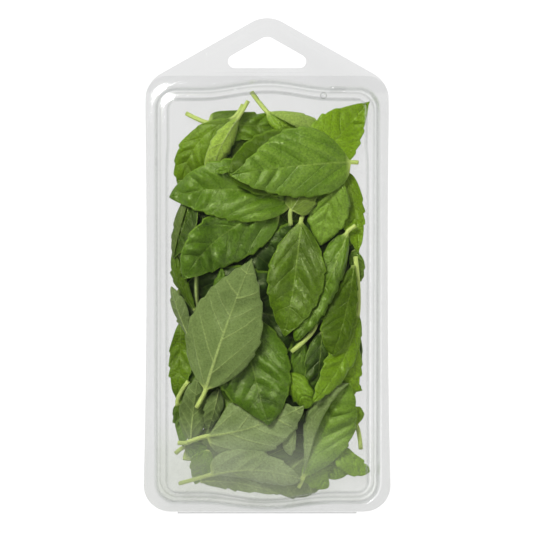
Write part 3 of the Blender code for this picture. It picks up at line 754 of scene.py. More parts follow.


# Each leaf's tone is its own lightness with painted shade and light mixed in: leaves deep in the pile are
# painted darker, a few at the edges lighter.
LEAVES = {
    "bed_1": leaf("T", None, (-40, 49), (13, 46), 2, 17, 17, arch=4, tone=1),
    "bed_2": leaf("U", None, (34, 41), (-17, 28), -2, 19, 18, arch=3, tone=-1),
    "bed_3": leaf("T", None, (-41, 16), (19, 11), -3, 21, 19, curl=-40, arch=6, tone=0.1),
    "bed_4": leaf("T", None, (40.5, 11), (-13, -5), 2, 21, 20, curl=-35, arch=4, tone=0),
    "bed_5": leaf("T", None, (-42, -15), (30, -30), 2, 20, 22, curl=-40, arch=6, tone=0),
    "bed_6": leaf("T", None, (-42, -56), (20, -50), 0, 19, 24, curl=-40, arch=6, tone=0.8),
    "bed_7": leaf("T", None, (36, -24), (9, -80), 2, 15, 21, curl=-35, arch=5, tone=-0.15),
    "bed_8": leaf("U", None, (-38, -87), (25, -99), 2, 19.5, 10, (0.4, 0.75), (0.8, 0.6), curl=(-30, -20),
        arch=4, tone=0.65),
    "top_left_back": leaf("T", (-36.7, 69), (-26.5, 64.6), (16, 63.6), -1, 6.6, 7, (0.3, 0.34), (0.55, 0.8),
        tone=0.25, lit=0.3),
    "left_shade": leaf("T", None, (-32, 24), (-36.5, -8), 1, 6, 5.5, curl=(10, 25), tone=-0.1),
    "middle_stalk": leaf("U", (-31.9, -1), (-30.4, -21), (-22, -50), 1, 6, 6, tone=-0.8),
    "middle_grey": leaf("T", None, (-19, -24), (-20.4, -0.9), 0.3, 4.6, 4.2, 0.4, 0.9, tone=0.35),
    "right_chip": leaf("T", None, (38.8, 7), (42.4, -7), 0.4, 3.0, 3.4, arch=1, tone=0.75),
    "right_edge_high": leaf("T", None, (37.5, -32), (39.5, -58), 0.8, 3.7, 5, 0.4, tone=1.2, lit=0.9),
    "right_edge_mid": leaf("T", None, (31, -51), (42.9, -56.2), 0.3, 3.0, 4, 0.42, 1.0, arch=1, tone=1.1,
        lit=0.9),
    "right_edge_low": leaf("T", (42.4, -83), (40.3, -72), (33, -56), 0.4, 5, 5.9, (0.4, 0.22), (1.0, 2.6),
        tone=1.4, lit=0.9),
    "low_dark": leaf("T", None, (0, -86), (21, -79), 1, 5.5, 7, arch=2, tone=0),
    "low_pale": leaf("U", None, (12, -66), (10.8, -85.4), 0.3, 1.6, 4.8, 0.6, 0.6, tone=0.8),
    "corner_dark": leaf("T", None, (33.5, -82), (27.5, -96.2), 0, 8.2, 4.2, 0.55, 0.6, curl=-10, arch=1,
        tone=0.95),
    "corner_bright": leaf("T", None, (31, -81), (46.4, -93.2), 0, 2.6, 7.4, 0.5, 0.6, curl=-10, arch=1,
        tone=1.05, lit=0.6),
    "foot_right": leaf("T", None, (18.5, -88), (27.4, -100.4), 0, 4.4, 6.8, 0.45, 0.6, curl=-10, arch=1,
        tone=0.95, lit=0.3),
    "foot_left_dark": leaf("T", (-41.4, -84.9), (-37, -82), (-25, -87), 0.8, 4, 4.2, tone=0.35),
    "foot_left_bright": leaf("T", None, (-26.5, -83), (-32.6, -98.7), 1, 4.2, 6.8, curl=(60, 20), tone=0.4,
        lit=0.35),
    "right_bright": leaf("T", None, (35.6, 42), (41, 6), 1.6, 4.3, 8, 0.35, curl=(-10, 20), tone=0.1,
        lit=0.8),
    "upper_left_bright": leaf("T", (-10.8, 72.6), (-15.5, 66.4), (-38.8, 34), -6.2, 12, 6.4, (0.45, 0.55),
        0.8, curl=(-15, -20), tone=0.1, lit=0.6),
    "upper_left_pale": leaf("U", (-8.6, 74.2), (-13.2, 66.3), (-27.5, 36), -1.4, 5.8, 6.4, 0.45, 1.0,
        curl=-80, tone=1, lit=1),
    "top_folded": leaf("T", (-7.2, 78.6), (0.4, 69), (31, 53), -2.4, 19, 5, (0.56, 0.42), 0.6,
        curl=(172, -50), tone=1.1, lit=0.75),
    "top_right_bright": leaf("T", None, (23.5, 47), (46.3, 74.2), 0.6, 12.8, 11.2, (0.34, 0.3), (1.2, 1.1),
        curl=(-10, 14), tone=0.65, lit=0.9),
    "left_bright_low": leaf("T", None, (-38.2, -11), (-41, 9), 0.2, 3.9, 2.8, curl=10, arch=1, tone=0.05,
        lit=0.4),
    "left_sliver": leaf("T", None, (-32.4, -20), (-41.2, 5.6), 2.0, 2.0, 3.4, 0.5, curl=(-40, -60), arch=1,
        tone=0, lit=0.3),
    "left_long_bright": leaf("T", None, (-39, -25), (-40.6, -60.5), 0.6, 5.6, 5.2, 0.5, curl=(20, 10),
        tone=0.02, lit=0.5),
    "left_curled_pale": leaf("U", None, (-35.2, -31.5), (-43.2, -9.5), 0.6, 2.4, 4.8, 0.5, curl=(-50, -60),
        arch=1, tone=0.7),
    "left_folded": leaf("T", None, (-34, 33), (-42, 3.6), 0.6, 5.5, 9, 0.45, curl=(15, 172), tone=0.05,
        lit=0.1),
    "left_narrow": leaf("T", (-35.4, -52), (-40.4, -62.5), (-38, -81.5), 0.6, 3.6, 3.4, 0.35,
        curl=(-20, -10), arch=1, tone=0.45, lit=0.1),
    "lower_left_grey": leaf("U", (-40.3, -79.8), (-34.4, -78.7), (-31, -50), 0.5, 6.2, 6.8, 0.45, tone=0.45),
    "lower_left_olive": leaf("U", None, (-22, -56), (-26.6, -74), 0.3, 3.8, 4.6, 0.45, tone=0.4),
    "right_quilted": leaf("T", None, (31, 42.5), (24.1, 9.2), 0.2, 9.4, 9.6, 0.5, 0.95, curl=-20, tone=0.95,
        lit=0),
    "mid_right_small": leaf("T", None, (15.6, -33), (15, -58), 0, 3.4, 5, 0.45, curl=(-30, -40), arch=1,
        tone=0.3),
    "mid_right_dark": leaf("T", None, (24.5, -30), (21, -63), 0.4, 7.6, 6.6, 0.45, tone=0.17),
    "cut_stalk": leaf("T", (10.9, -38.6), (21.5, -27.5), (33, 14), 0, 7, 7, 0.5, arch=2, tone=0.2, lit=0.1),
    "right_large_folded": leaf("T", (14, -100), (16.4, -95), (37, -53), 1.5, 20, 13.6, (0.65, 0.52),
        (0.9, 0.8), curl=(172, -20), tone=0.75),
    "small_folded": leaf("T", None, (9, -49), (18.6, -63.8), 0.6, 6.6, 4.6, 0.5, 0.5, curl=(-60, -30),
        tone=0.6, lit=0.45),
    "right_long_bright": leaf("T", (39.8, 4.2), (41, -22), (20.6, -61), 3.4, 5.0, 7.5, 0.45,
        curl=(-35, -15), tone=0.2, lit=0.65),
    "right_glossy": leaf("T", None, (38.8, 0), (29.4, -39.8), 1.6, 4.6, 10, 0.6, 0.55, curl=(-20, -30),
        tone=-0.12, lit=0.3),
    "low_left_pale": leaf("U", (-36, -79.4), (-27, -76.6), (16.3, -62.8), -2.4, 15.5, 13.4, (0.45, 0.4),
        (1.6, 0.75), curl=-20, tone=0.85),
    "centre_large": leaf("T", None, (-13, -22), (0.5, -71.6), 0, 17.4, 17.4, (0.47, 0.46), (0.75, 1.2),
        curl=(-30, -20), arch=4, tone=0.25),
    "foot_pale": leaf("U", None, (-30, -97), (4.6, -103), 1.8, 3.3, 3.6, (0.4, 0.45), (1.2, 0.8), curl=-20,
        arch=1, tone=0.85, lit=0.05),
    "foot_large_pale": leaf("U", (-39.5, -98.3), (-25, -94), (14.8, -96), 3, 9.8, 8, (0.3, 0.7), (0.8, 0.5),
        curl=(-30, -90), tone=0.9),
    "left_large_pale": leaf("U", (-31.8, -63.8), (-27.6, -55.6), (-6.8, 2.9), 0.8, 16.6, 16.8, 0.43, 1.1,
        curl=-20, tone=0.55),
    "right_narrow": leaf("T", (39.9, 18), (36, 14.8), (12.7, -33.8), 1.8, 6.2, 8.5, 0.5, 0.65,
        curl=(-70, -20), tone=0.28, lit=0.15),
    "centre_tall": leaf("T", (15.9, 22.4), (15.2, 20), (7.8, -31.8), 0.8, 13.6, 12.4, 0.48, 1.0, curl=-22,
        tone=0.06, lit=0.3),
    "left_large": leaf("T", None, (5, 26), (-37.2, -5.6), -5.3, 14.8, 10.8, (0.38, 0.58), 0.75,
        curl=(-20, -25), tone=0.34),
    "upper_left_large": leaf("T", None, (11, 27.5), (-44, 31), -5, 14.2, 14.6, 0.42, 0.8, curl=(-22, -25),
        tone=0.5, lit=0.05),
    "pale_patch": leaf("U", (10.7, 18.2), (10.9, 25.2), (20, 44), -1, 5.5, 8, 0.25, 0.8, arch=1, tone=0,
        lit=0.4),
    "small_tip": leaf("T", None, (-6, 46.2), (-23.2, 42.2), 0.4, 1.6, 1.8, 0.7, 0.5, arch=1, tone=0.5,
        lit=0.2),
    "top_second": leaf("T", None, (31, 48), (-17.2, 41.5), 0.6, 12.8, 18.3, 0.5, 0.62, curl=(-18, -30),
        tone=-0.15, lit=0.28),
    "top_leaf": leaf("T", (41, 46.6), (37.5, 46.7), (-16.3, 40.6), -0.8, 14.6, 18.2, (0.35, 0.4),
        (0.8, 1.4), curl=(-22, -34), arch=5, tone=0.65),
}
print("leaves:", len(LEAVES))

# %% [markdown]
# ## The shape of a blade
#
# The midrib is a smooth curve from the base to the tip. Across it, each half rises a little, then
# bends down, or folds right back on itself. Three finer things are added on top: teeth along the
# margin, which point to the tip, a soft wave of the margin, and the puffed cells between the side
# veins. The side veins follow one formula, and the finish uses the same formula, so that the light
# lines lie in the furrows.

# %% Measures of blades and stalks, in mm
BLADE = 0.36
STALK = 1.7
STALK_HALF = 1.0
FOLD = 6
FOLDS_BACK = 120
LONG_LEAF = 35.0
TOOTH_EVERY = 7.0
TOOTH_DEPTH = 1.4
PUFF = 1.5
LEAN_AT_BASE = 1.5
LEAN_LOSS = 1.5
VEIN_CURVE = 3.2
VEINS_AT_BASE = 3.7
VEINS_TO_TIP = 1.5
ALTERNATE = 0.4
VEINS_VARY = 0.16
VEIN_DRIFT = 0.022
DRIFT_RATE = 13.0


def bezier(a, b, c, t):
    t = t[:, None]
    return (1 - t) ** 2 * a + 2 * t * (1 - t) * b + t ** 2 * c


def bezier_slope(a, b, c, t):
    t = t[:, None]
    return 2 * (1 - t) * (b - a) + 2 * t * (c - b)


def midrib(spec, stalk_rows, blade_rows):
    """Plan points and directions along the stalk and the blade, with s from below 0 to 1."""
    base = np.array(spec.base, float)
    tip = np.array(spec.tip, float)
    along = tip - base
    normal = np.array([-along[1], along[0]]) / np.hypot(*along)
    knee = (base + tip) / 2 + 2 * spec.bow * normal
    s = np.linspace(0, 1, blade_rows + 1)
    points = bezier(base, knee, tip, s)
    slopes = bezier_slope(base, knee, tip, s)
    if spec.stalk:
        end = np.array(spec.stalk, float)
        length = np.hypot(*(base - end))
        lead = base - slopes[0] / np.hypot(*slopes[0]) * length * 0.25
        t = np.linspace(0, 1, stalk_rows + 1)[:-1]
        points = np.vstack([bezier(end, lead, base, t), points])
        slopes = np.vstack([bezier_slope(end, lead, base, t), slopes])
        s = np.concatenate([(t - 1) * length / np.hypot(*along), s])
    slopes = slopes / np.hypot(slopes[:, 0], slopes[:, 1])[:, None]
    return s, points, slopes


def half_width(s, width, peak, blunt):
    """Half width of a blade: widest at peak and running out to the tip."""
    inside = np.clip(s, 0.0, 1.0)
    rise = blunt * peak / (1 - peak)
    blade = width * (inside / peak) ** rise * ((1 - inside) / (1 - peak)) ** blunt
    stalk = STALK_HALF * np.clip(1 - inside, 0.12, 1.0)
    return np.where(s <= 0, STALK_HALF, np.maximum(blade, stalk))


def teeth(s, span, phase):
    """How far the teeth push the margin out: a slow rise and a quick fall towards the tip."""
    count = span / TOOTH_EVERY
    place = s * count + phase + 0.25 * np.sin(s * 9.0 + phase * 7.0)
    saw = place - np.floor(place)
    shape = np.where(saw < 0.86, saw / 0.86, (1 - saw) / 0.14)
    here = np.clip((s - 0.12) / 0.2, 0, 1) * np.clip((0.97 - s) / 0.1, 0, 1)
    uneven = 0.65 + 0.35 * np.sin(np.floor(place) * 2.4 + phase * 9.0)
    return TOOTH_DEPTH * (shape - 0.5) * here * uneven


def cross_section(width, curl, steps):
    """Across-and-up offsets along one half, as its bend grows from FOLD to FOLD + curl degrees."""
    q = np.linspace(0, 1, 33)
    start, zone = (0.42, 0.3) if abs(curl) > FOLDS_BACK else (0.15, 0.85)
    bend = np.clip((q - start) / zone, 0, 1)
    bend = bend * bend * (3 - 2 * bend)
    angle = np.radians(FOLD + curl * bend)
    across = np.concatenate([[0], np.cumsum((np.cos(angle[1:]) + np.cos(angle[:-1])) / 2)]) / 32
    up = np.concatenate([[0], np.cumsum((np.sin(angle[1:]) + np.sin(angle[:-1])) / 2)]) / 32
    return width[:, None] * np.interp(steps, q, across), width[:, None] * np.interp(steps, q, up)


def half_steps(curl, count):
    """Where the columns of one half lie, packed closer where it folds back."""
    if abs(curl) > FOLDS_BACK:
        q = np.linspace(0, 1, 6 * count + 1)
        density = 1 + 1.5 * np.exp(-((q - 0.57) / 0.12) ** 2)
        length = np.concatenate([[0], np.cumsum(density[1:])])
        return np.interp(np.linspace(0, length[-1], int(count * 1.4) + 1), length, q)[1:]
    return np.linspace(0, 1, count + 1)[1:]


def vein_count(s, q, side_of, habit):
    """Counts the side veins: a whole number on each vein, with q the distance from the midrib."""
    v = s - (LEAN_AT_BASE - LEAN_LOSS * s) * q - VEIN_CURVE * q * q
    v = v + VEIN_DRIFT * np.sin(DRIFT_RATE * v + 2 * math.pi * habit)
    count = VEINS_AT_BASE * v + VEINS_TO_TIP * v * v + (ALTERNATE * (1 - s) if side_of < 0 else 0.0)
    return count * (1 + VEINS_VARY * (2 * habit - 1))


def leaf_surface(spec, seed, blade_rows, columns):
    """One leaf's middle surface, half thickness, margin measure and blade coordinates."""
    draw = np.random.default_rng(seed)
    phases = draw.uniform(0, 1, 6)
    stalk_rows = 8 if spec.stalk else 0
    s, centre, slope = midrib(spec, stalk_rows, blade_rows)
    normal = np.column_stack([-slope[:, 1], slope[:, 0]])
    on_blade = np.clip(s, 0, 1)
    span = math.dist(spec.base, spec.tip)
    height = spec.arch * 4 * on_blade * (1 - on_blade) + np.where(s < 0, 0.06 * s * span, 0.0)
    height += 0.35 * np.sin(on_blade * math.pi * 2.2 + phases[0] * 6) * np.sin(on_blade * math.pi)
    open_up = np.clip(s / 0.12, 0, 1)[:, None]
    facing = 1.0 if spec.up == "T" else -1.0
    # Leaves given painted backlight also get flatter puffs.
    full = PUFF * (1 - 0.6 * spec.lit) * (1.0 if spec.up == "T" else 0.45)
    halves = []
    for sign, width, peak, blunt, curl, phase in zip((-1, 1), spec.widths, spec.peaks, spec.blunts,
                                                     spec.curls, phases[1:3]):
        steps = half_steps(curl, columns)
        plain = half_width(s, width, peak, blunt)
        toothed = plain + teeth(s, span, phase) * (s > 0)
        across, up = cross_section(toothed, curl, steps)
        q = toothed[:, None] * steps[None, :] / span
        count = vein_count(on_blade[:, None], q, sign, phases[5])
        cell = 0.5 - 0.5 * np.cos(2 * math.pi * count)
        chance = np.sin(np.floor(count) * 12.99 + sign * 4.7 + phases[3] * 78.2) * 43758.5
        size = 0.45 + 0.95 * (chance - np.floor(chance))
        fade = np.clip(q * span / (2.2 - 1.9 * on_blade[:, None]), 0, 1)
        fade = fade * np.clip((1 - steps) / 0.4, 0, 1)[None, :]
        strength = np.clip(plain / 7.0, 0, 1)[:, None]
        ripple = np.sin(q * span * 0.8 + count * 2.1 + phases[3] * 6) * 0.15
        uneven = 0.62 + 0.55 * np.sin(count * 1.9 + q * span * 0.3 + phases[3] * 9)
        puff = facing * full * (size * cell ** 0.7 - 0.5 + ripple * cell) * fade * strength * uneven
        wave = np.sin(s * (7 + 5 * phases[4]) + phase * 6)[:, None] * (steps[None, :] ** 3)
        wave = wave * np.clip(width / 12, 0, 1) * 0.7 * np.clip(s / 0.3, 0, 1)[:, None]
        xy = centre[:, None, :] + sign * across[..., None] * normal[:, None, :]
        z = height[:, None] + up * open_up + (puff + wave) * open_up
        margin = np.broadcast_to(steps[None, :], z.shape) * (s[:, None] > 0)
        halves.append((np.dstack([xy, z]), margin, sign * q))
    middle = np.dstack([centre[:, None, :], height[:, None]])
    nothing = np.zeros((len(s), 1))
    grid = np.concatenate([halves[0][0][:, ::-1], middle, halves[1][0]], axis=1)
    margin = np.concatenate([halves[0][1][:, ::-1], nothing, halves[1][1]], axis=1)
    across = np.concatenate([halves[0][2][:, ::-1], nothing, halves[1][2]], axis=1)
    reach = np.abs(across) * span
    rib_half = 0.95 * np.clip(1.0 - on_blade, 0.2, 1.0)[:, None]
    rib = np.exp(-(reach / rib_half) ** 2)
    grid[..., 2] -= facing * 0.32 * rib * (s[:, None] > 0.03)
    thick = BLADE / 2 + 0.42 * rib * np.clip(1.15 - on_blade, 0, 1)[:, None]
    round_stalk = STALK / 2 * np.sqrt(np.clip(1 - (reach / STALK_HALF) ** 2, 0.02, 1))
    thick = np.where(s[:, None] <= 0, round_stalk, thick)
    stalk_share = np.clip(1 - s / 0.05, 0, 1)[:, None] * (s[:, None] > 0)
    thick = thick + stalk_share * np.clip(round_stalk - thick, 0, None)
    along = np.broadcast_to(s[:, None], across.shape)
    return grid, thick, margin, np.dstack([across, along]), phases[5]


print("tooth depth:", TOOTH_DEPTH)

# %% [markdown]
# ## Laying the pile
#
# Real leaves drop onto each other and drape. A cloth simulation of fifty-seven leaves would be slow
# and would move them about. Here each leaf is lowered onto a height map of the pile so far: it
# tilts to the pile's lie, comes to rest, and wherever it would still cut into what is below, it is
# lifted by a soft bulge. The result is the same on every run.

# %% A height map and the way a leaf settles on it
CELL = 0.5
REACH_X = 56.0
REACH_Y = 114.0
GAP = 0.42
CEILING = 23.9
FACE_SAMPLES = 3
SPREAD_CELLS = 12
SOFTEN_CELLS = 6
SETTLE_ROUNDS = 8
FINE_GRID = (96, 14)
PLAIN_GRID = (48, 9)
FIRST_SEED = 100


def cells(points):
    """The height map's row and column under each point."""
    return tuple(np.clip(((points[..., axis] + reach) / CELL).astype(int), 0, int(2 * reach / CELL) - 1)
                 for axis, reach in ((1, REACH_Y), (0, REACH_X)))


def highest(shape, points, heights):
    """The highest of the heights that fall in each cell, or a very low value."""
    top = np.full(shape, -1e3)
    np.maximum.at(top, cells(points), heights)
    return top


def spread(field, reach):
    """Each cell takes the highest value within reach cells of it."""
    for axis in (0, 1):
        out = field.copy()
        for step in range(1, reach + 1):
            out = np.maximum(out, np.roll(field, step, axis))
            out = np.maximum(out, np.roll(field, -step, axis))
        field = out
    return field


def soften(field, reach):
    """Running mean over reach cells each way, twice."""
    for _ in range(2):
        for axis in (0, 1):
            total = sum(np.roll(field, step, axis) for step in range(-reach, reach + 1))
            field = total / (2 * reach + 1)
    return field


def dense(grid, thick):
    """The grid's faces sampled finely, as flat lists of points and half thicknesses."""
    u = (np.arange(FACE_SAMPLES) + 0.5) / FACE_SAMPLES
    a, b = np.meshgrid(u, u, indexing="ij")
    weights = [(1 - a) * (1 - b), a * (1 - b), (1 - a) * b, a * b]
    corners = [(slice(None, -1), slice(None, -1)), (slice(1, None), slice(None, -1)),
               (slice(None, -1), slice(1, None)), (slice(1, None), slice(1, None))]
    points = sum(grid[c][:, :, None, None, :] * w[..., None] for c, w in zip(corners, weights))
    halves = sum(thick[c][:, :, None, None] * w for c, w in zip(corners, weights))
    return points.reshape(-1, 3), halves.reshape(-1)


def settle(grid, thick, pile):
    """Lay one leaf on the pile: tilt it to the pile's lie, rest it, then drape what still cuts in."""
    flat = grid.reshape(-1, 3)
    under = soften(pile, SOFTEN_CELLS)[cells(flat)]
    plane = np.column_stack([flat[:, 0], flat[:, 1], np.ones(len(flat))])
    fit = np.linalg.lstsq(plane, under, rcond=None)[0]
    grid = grid.copy()
    grid[..., 2] += (plane @ fit).reshape(grid.shape[:2])
    points, halves = dense(grid, thick)
    short = pile[cells(points)] + GAP - (points[:, 2] - halves)
    grid[..., 2] += np.percentile(short, 60)
    for _ in range(SETTLE_ROUNDS):
        points, halves = dense(grid, thick)
        low = -highest(pile.shape, points, halves - points[:, 2])
        short = np.where(low < 1e3, np.clip(pile + GAP - low, 0, None), 0)
        if short.max() < 0.03:
            break
        lift = np.maximum(soften(spread(short, SPREAD_CELLS), SOFTEN_CELLS), 0)
        grid[..., 2] += lift[cells(grid)]
    return grid


def pile_up(pile, grid, thick):
    """The pile with one more leaf on it."""
    points, halves = dense(grid, thick)
    return np.maximum(pile, spread(highest(pile.shape, points, points[:, 2] + halves), 1))


print("height map cells:", int(2 * REACH_Y / CELL), "by", int(2 * REACH_X / CELL))

# %% Lay every leaf
pile = np.full((int(2 * REACH_Y / CELL), int(2 * REACH_X / CELL)), SHEET)
laid = {}
for number, (name, spec) in enumerate(LEAVES.items()):
    size = FINE_GRID if math.dist(spec.base, spec.tip) > LONG_LEAF else PLAIN_GRID
    grid, thick, margin, blade, habit = leaf_surface(spec, FIRST_SEED + number, *size)
    grid = settle(grid, thick, pile)
    pile = pile_up(pile, grid, thick)
    laid[name] = (grid, thick, margin, blade, habit)
pile_top = max((grid[..., 2] + thick).max() for grid, thick, *_ in laid.values())
squeeze = min(1.0, (CEILING - SHEET) / (pile_top - SHEET))
print("pile top:", round(pile_top, 2), "squeeze:", round(squeeze, 3))

# %% [markdown]
# ## The leaf's two faces
#
# The top of a basil leaf is glossy and deep green, and its veins are thin light lines in furrows.
# The underside is matt, pale and greyish, with raised light veins and a fine net between them.
# Both faces use one node group that draws the veins from the blade's own coordinates, by the same
# formula as the puffed cells. Each leaf carries two numbers: its tone, which is its own lightness
# with painted shade on leaves deep in the pile and painted light on a few, and its painted
# backlight, a yellow-green painted in as if light shone through it. A light rim along the margin
# is a painted highlight.

# %% Veins, net and margin as a node group


def blade_group():
    """The side veins follow vein_count, with the blade's place across and along it as UV."""
    tree, out = new_group("basil_blade", ("Midrib", "Side Veins", "Cells", "Net", "Rim", "Mottle", "Patch",
                                          "Pucker", "Grain", "Stalk", "Bruise"))
    uv_map = add_node(tree, "UVMap")
    uv_map.uv_map = "blade"
    uv = Signal(uv_map.outputs[0])
    across, s, _ = split(uv)
    across = across - 0.5
    q = abs(across)
    v = s - q * (s * -LEAN_LOSS + LEAN_AT_BASE) - q * q * VEIN_CURVE
    v = v + (noise(uv, 9.0) - 0.5) * q * 0.22
    habit = reading(tree, "habit")
    v = maths("SINE", v * DRIFT_RATE + habit * (2 * math.pi)) * VEIN_DRIFT + v
    count = v * VEINS_AT_BASE + v * v * VEINS_TO_TIP
    count = count + maths("LESS_THAN", across, 0.0) * (1.0 - s) * ALTERNATE
    count = count * (habit * (2 * VEINS_VARY) + (1 - VEINS_VARY))
    off = 0.5 - abs(maths("FRACT", count) - 0.5)
    rib_edge = s * -0.011 + 0.0145
    margin = reading(tree, "margin")
    net = add_node(tree, "TexVoronoi")
    net.feature = "DISTANCE_TO_EDGE"
    net.voronoi_dimensions = "2D"
    dial(net, Scale=30.0, Vector=uv)
    place = coordinates(tree, "Object")
    # The mask along the margin is for a painted highlight on the leaf's rim.
    dial(out, Midrib=ramp(q, rib_edge, rib_edge * 0.45) * ramp(s, 0.05, 0.7, 1.0, 0.4),
         Side_Veins=ramp(off, 0.065, 0.015) * ramp(margin, 1.0, 0.55, 0.15, 1.0) * ramp(s, 0.0, 0.04),
         Cells=ramp(off, 0.05, 0.45), Net=ramp(Signal(net.outputs["Distance"]), 0.10, 0.02),
         Rim=ramp(margin, 0.91, 0.98), Mottle=noise(uv, 42.0, 4.0, 0.65), Patch=noise(place, 70.0),
         Pucker=noise(uv, 13.0), Grain=noise(place, 1100.0, 2.0, 0.6), Stalk=ramp(s, 0.05, -0.01),
         Bruise=ramp(noise(place, 210.0, 3.0, 0.7), 0.68, 0.78))
    return tree


BLADE_GROUP = blade_group()
print("blade group nodes:", len(BLADE_GROUP.nodes))

# %% Glossy top and matt underside
STALK_GREEN = rgb(190, 208, 112)


def leaf_material(name, gloss, dark, middle, light, backlight_green, vein, rim_highlight, shares, rough, bump):
    """shares are how strongly midrib, side veins, cells, net, the painted rim highlight and bruises colour
    the blade.
    """
    material, tree, shader = new_material(name)
    mask = use_group(tree, BLADE_GROUP)
    # The tone brings painted shade: leaves deep in the pile get the dark colour, and their stalks are less
    # pale.
    leaf_tone_and_shading = reading(tree, "tone")
    tone = (mask["Patch"] - 0.5) * 0.7 + leaf_tone_and_shading
    tone = (mask["Mottle"] - 0.5) * 0.6 + tone + mask["Cells"] * shares["cells"]
    colour = blended(ramp(tone, 0.0, 0.5), dark, middle)
    colour = blended(ramp(tone, 0.5, 1.0), colour, light)
    # Painted backlight: a yellow-green painted over the leaf as if light shone through it.
    colour = blended(reading(tree, "lit") * ramp(mask["Patch"], 0.2, 0.8, 0.75, 1.0), colour, backlight_green)
    pale = ramp(leaf_tone_and_shading, -0.4, 0.2, 0.1, 0.9)
    for share, paint in (
        (mask["Net"] * shares["net"], vein),
        (mask["Side Veins"] * shares["side"], vein),
        (mask["Midrib"] * shares["midrib"], vein),
        # A painted highlight along the rim.
        (mask["Rim"] * shares["rim_highlight"], rim_highlight),
        (ramp(mask["Grain"], 0.62, 0.32, 0.0, 0.36), dark),
        (mask["Stalk"] * pale, STALK_GREEN),
        (mask["Bruise"] * shares["bruise"], dark),
    ):
        colour = blended(share, colour, paint)
    height = mask["Side Veins"] * bump["side"]
    for effect, amount in (("Net", bump["net"]), ("Midrib", bump["midrib"]), ("Mottle", 1.0), ("Grain", 0.5),
                           ("Pucker", bump["pucker"])):
        height = mask[effect] * amount + height
    dial(shader, Base_Color=colour, Roughness=ramp(mask["Mottle"], 0.3, 0.7, rough - 0.06, rough + 0.08),
         Normal=relief(height, 0.6, 0.0003), Specular_IOR_Level=gloss, Specular_Tint=(0.88, 1.0, 0.5, 1.0))
    return material


# In each look the fourth colour is painted backlight and the sixth a painted highlight on the rim.
TOP_LOOK = (
    rgb(24, 47, 4), rgb(80, 114, 16), rgb(118, 152, 44), rgb(126, 164, 0), rgb(146, 172, 72),
    rgb(132, 168, 50),
    {"midrib": 0.45, "side": 0.07, "cells": 0.10, "net": 0.03, "rim_highlight": 0.5, "bruise": 0.3}, 0.36,
    {"side": -1.0, "net": -0.25, "midrib": -0.6, "pucker": 3.0})
UNDER_LOOK = (
    rgb(66, 84, 34), rgb(108, 128, 68), rgb(140, 158, 102), rgb(158, 188, 62), rgb(168, 186, 108),
    rgb(140, 162, 84),
    {"midrib": 1.0, "side": 0.42, "cells": -0.10, "net": 0.06, "rim_highlight": 0.2, "bruise": 0.75}, 0.62,
    {"side": 1.6, "net": 0.6, "midrib": 1.0, "pucker": 2.0})
FACES = {"top": (0.5, 0.0, TOP_LOOK), "underside": (0.25, 0.12, UNDER_LOOK)}
finishes = {}


def finish(face, tone):
    """One face's finish for a leaf of this tone. Dark leaves lie deep and shine less."""
    full_gloss, sheen, look = FACES[face]
    share = min(max((tone + 0.3) / 0.45, 0.0), 1.0)
    gloss = round(0.1 + (full_gloss - 0.1) * share * share * (3 - 2 * share), 2)
    name = f"leaf_{face}_{gloss:.2f}"
    if name not in finishes:
        finishes[name] = leaf_material(name, gloss, *look)
        dial(finishes[name].node_tree.nodes["Principled BSDF"], Sheen_Weight=sheen)
    return finishes[name]


print("gloss of a bright leaf:", FACES["top"][0])

# %% [markdown]
# ## Making a leaf
#
# Each leaf begins as a plane grid, added with the number of rows and columns that its surface has.
# Its vertices are set on the laid surface. Solidify gives the blade its thickness, scaled by a
# vertex group so that the midrib and the stalk are thicker than the blade, and its other skin gets
# the other face's finish. Each leaf replaces its plain solid in the frame.

# %% Grid, thickness, finishes and frame


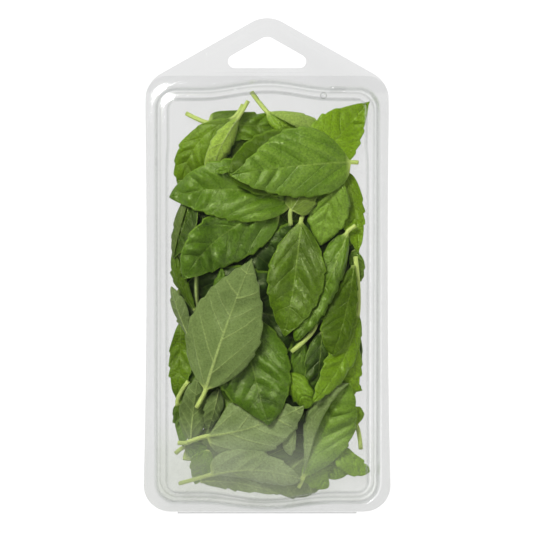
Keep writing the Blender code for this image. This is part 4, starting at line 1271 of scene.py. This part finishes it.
def make_leaf(name, spec, grid, thick, margin, blade, habit):
    rows, columns = thick.shape
    clean_slate()
    bpy.ops.mesh.primitive_grid_add(x_subdivisions=columns - 1, y_subdivisions=rows - 1, size=1.0)
    piece = bpy.context.object
    piece.name = "basil_" + name
    piece.data.name = piece.name
    count = rows * columns
    flat = np.zeros(count * 3)
    piece.data.vertices.foreach_get("co", flat)
    flat = flat.reshape(-1, 3)
    order = np.lexsort((flat[:, 0], np.round(flat[:, 1], 4)))
    places = np.zeros((count, 3))
    places[order] = grid[:, ::-1].reshape(-1, 3) * MM
    piece.data.vertices.foreach_set("co", places.ravel())
    spots = np.zeros((count, 2))
    spots[order] = blade[:, ::-1].reshape(-1, 2) + (0.5, 0.0)
    rims = np.zeros(count)
    rims[order] = margin[:, ::-1].reshape(-1)
    share = np.zeros(count)
    share[order] = (2 * thick[:, ::-1].reshape(-1)) / STALK
    group = piece.vertex_groups.new(name="thickness")
    for index in range(count):
        group.add([index], float(share[index]), "REPLACE")
    # The tone attribute carries painted shade, and the backlight attribute painted light, into the finish.
    for label, value in (("margin", rims), ("tone", spec.tone), ("lit", spec.lit), ("habit", habit)):
        attribute = piece.data.attributes.new(label, "FLOAT", "POINT")
        attribute.data.foreach_set("value", np.broadcast_to(value, count).astype(np.float32))
    layer = piece.data.uv_layers.active
    layer.name = "blade"
    corners = np.zeros(len(piece.data.loops), int)
    piece.data.loops.foreach_get("vertex_index", corners)
    layer.data.foreach_set("uv", spots[corners].ravel())
    faces = ("top", "underside") if spec.up == "T" else ("underside", "top")
    for face in faces:
        piece.data.materials.append(finish(face, spec.tone))
    skin = piece.modifiers.new("thickness", "SOLIDIFY")
    skin.thickness = STALK * MM
    skin.offset = 0.0
    skin.use_even_offset = False
    skin.vertex_group = group.name
    skin.material_offset = 1
    skin.material_offset_rim = 0
    apply_all(piece)
    piece.data.shade_smooth()
    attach(piece, "tray")
    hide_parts("leaf_" + name)
    "basil_leaf_" + faces[0]
    return piece


triangles = 0
for name, (grid, thick, margin, blade, habit) in laid.items():
    grid[..., 2] = SHEET + (grid[..., 2] - SHEET) * squeeze
    made = make_leaf(name, LEAVES[name], grid, thick, margin, blade, habit)
    triangles += sum(len(p.vertices) - 2 for p in made.data.polygons)
print("leaf triangles:", triangles, "finishes:", len(finishes))
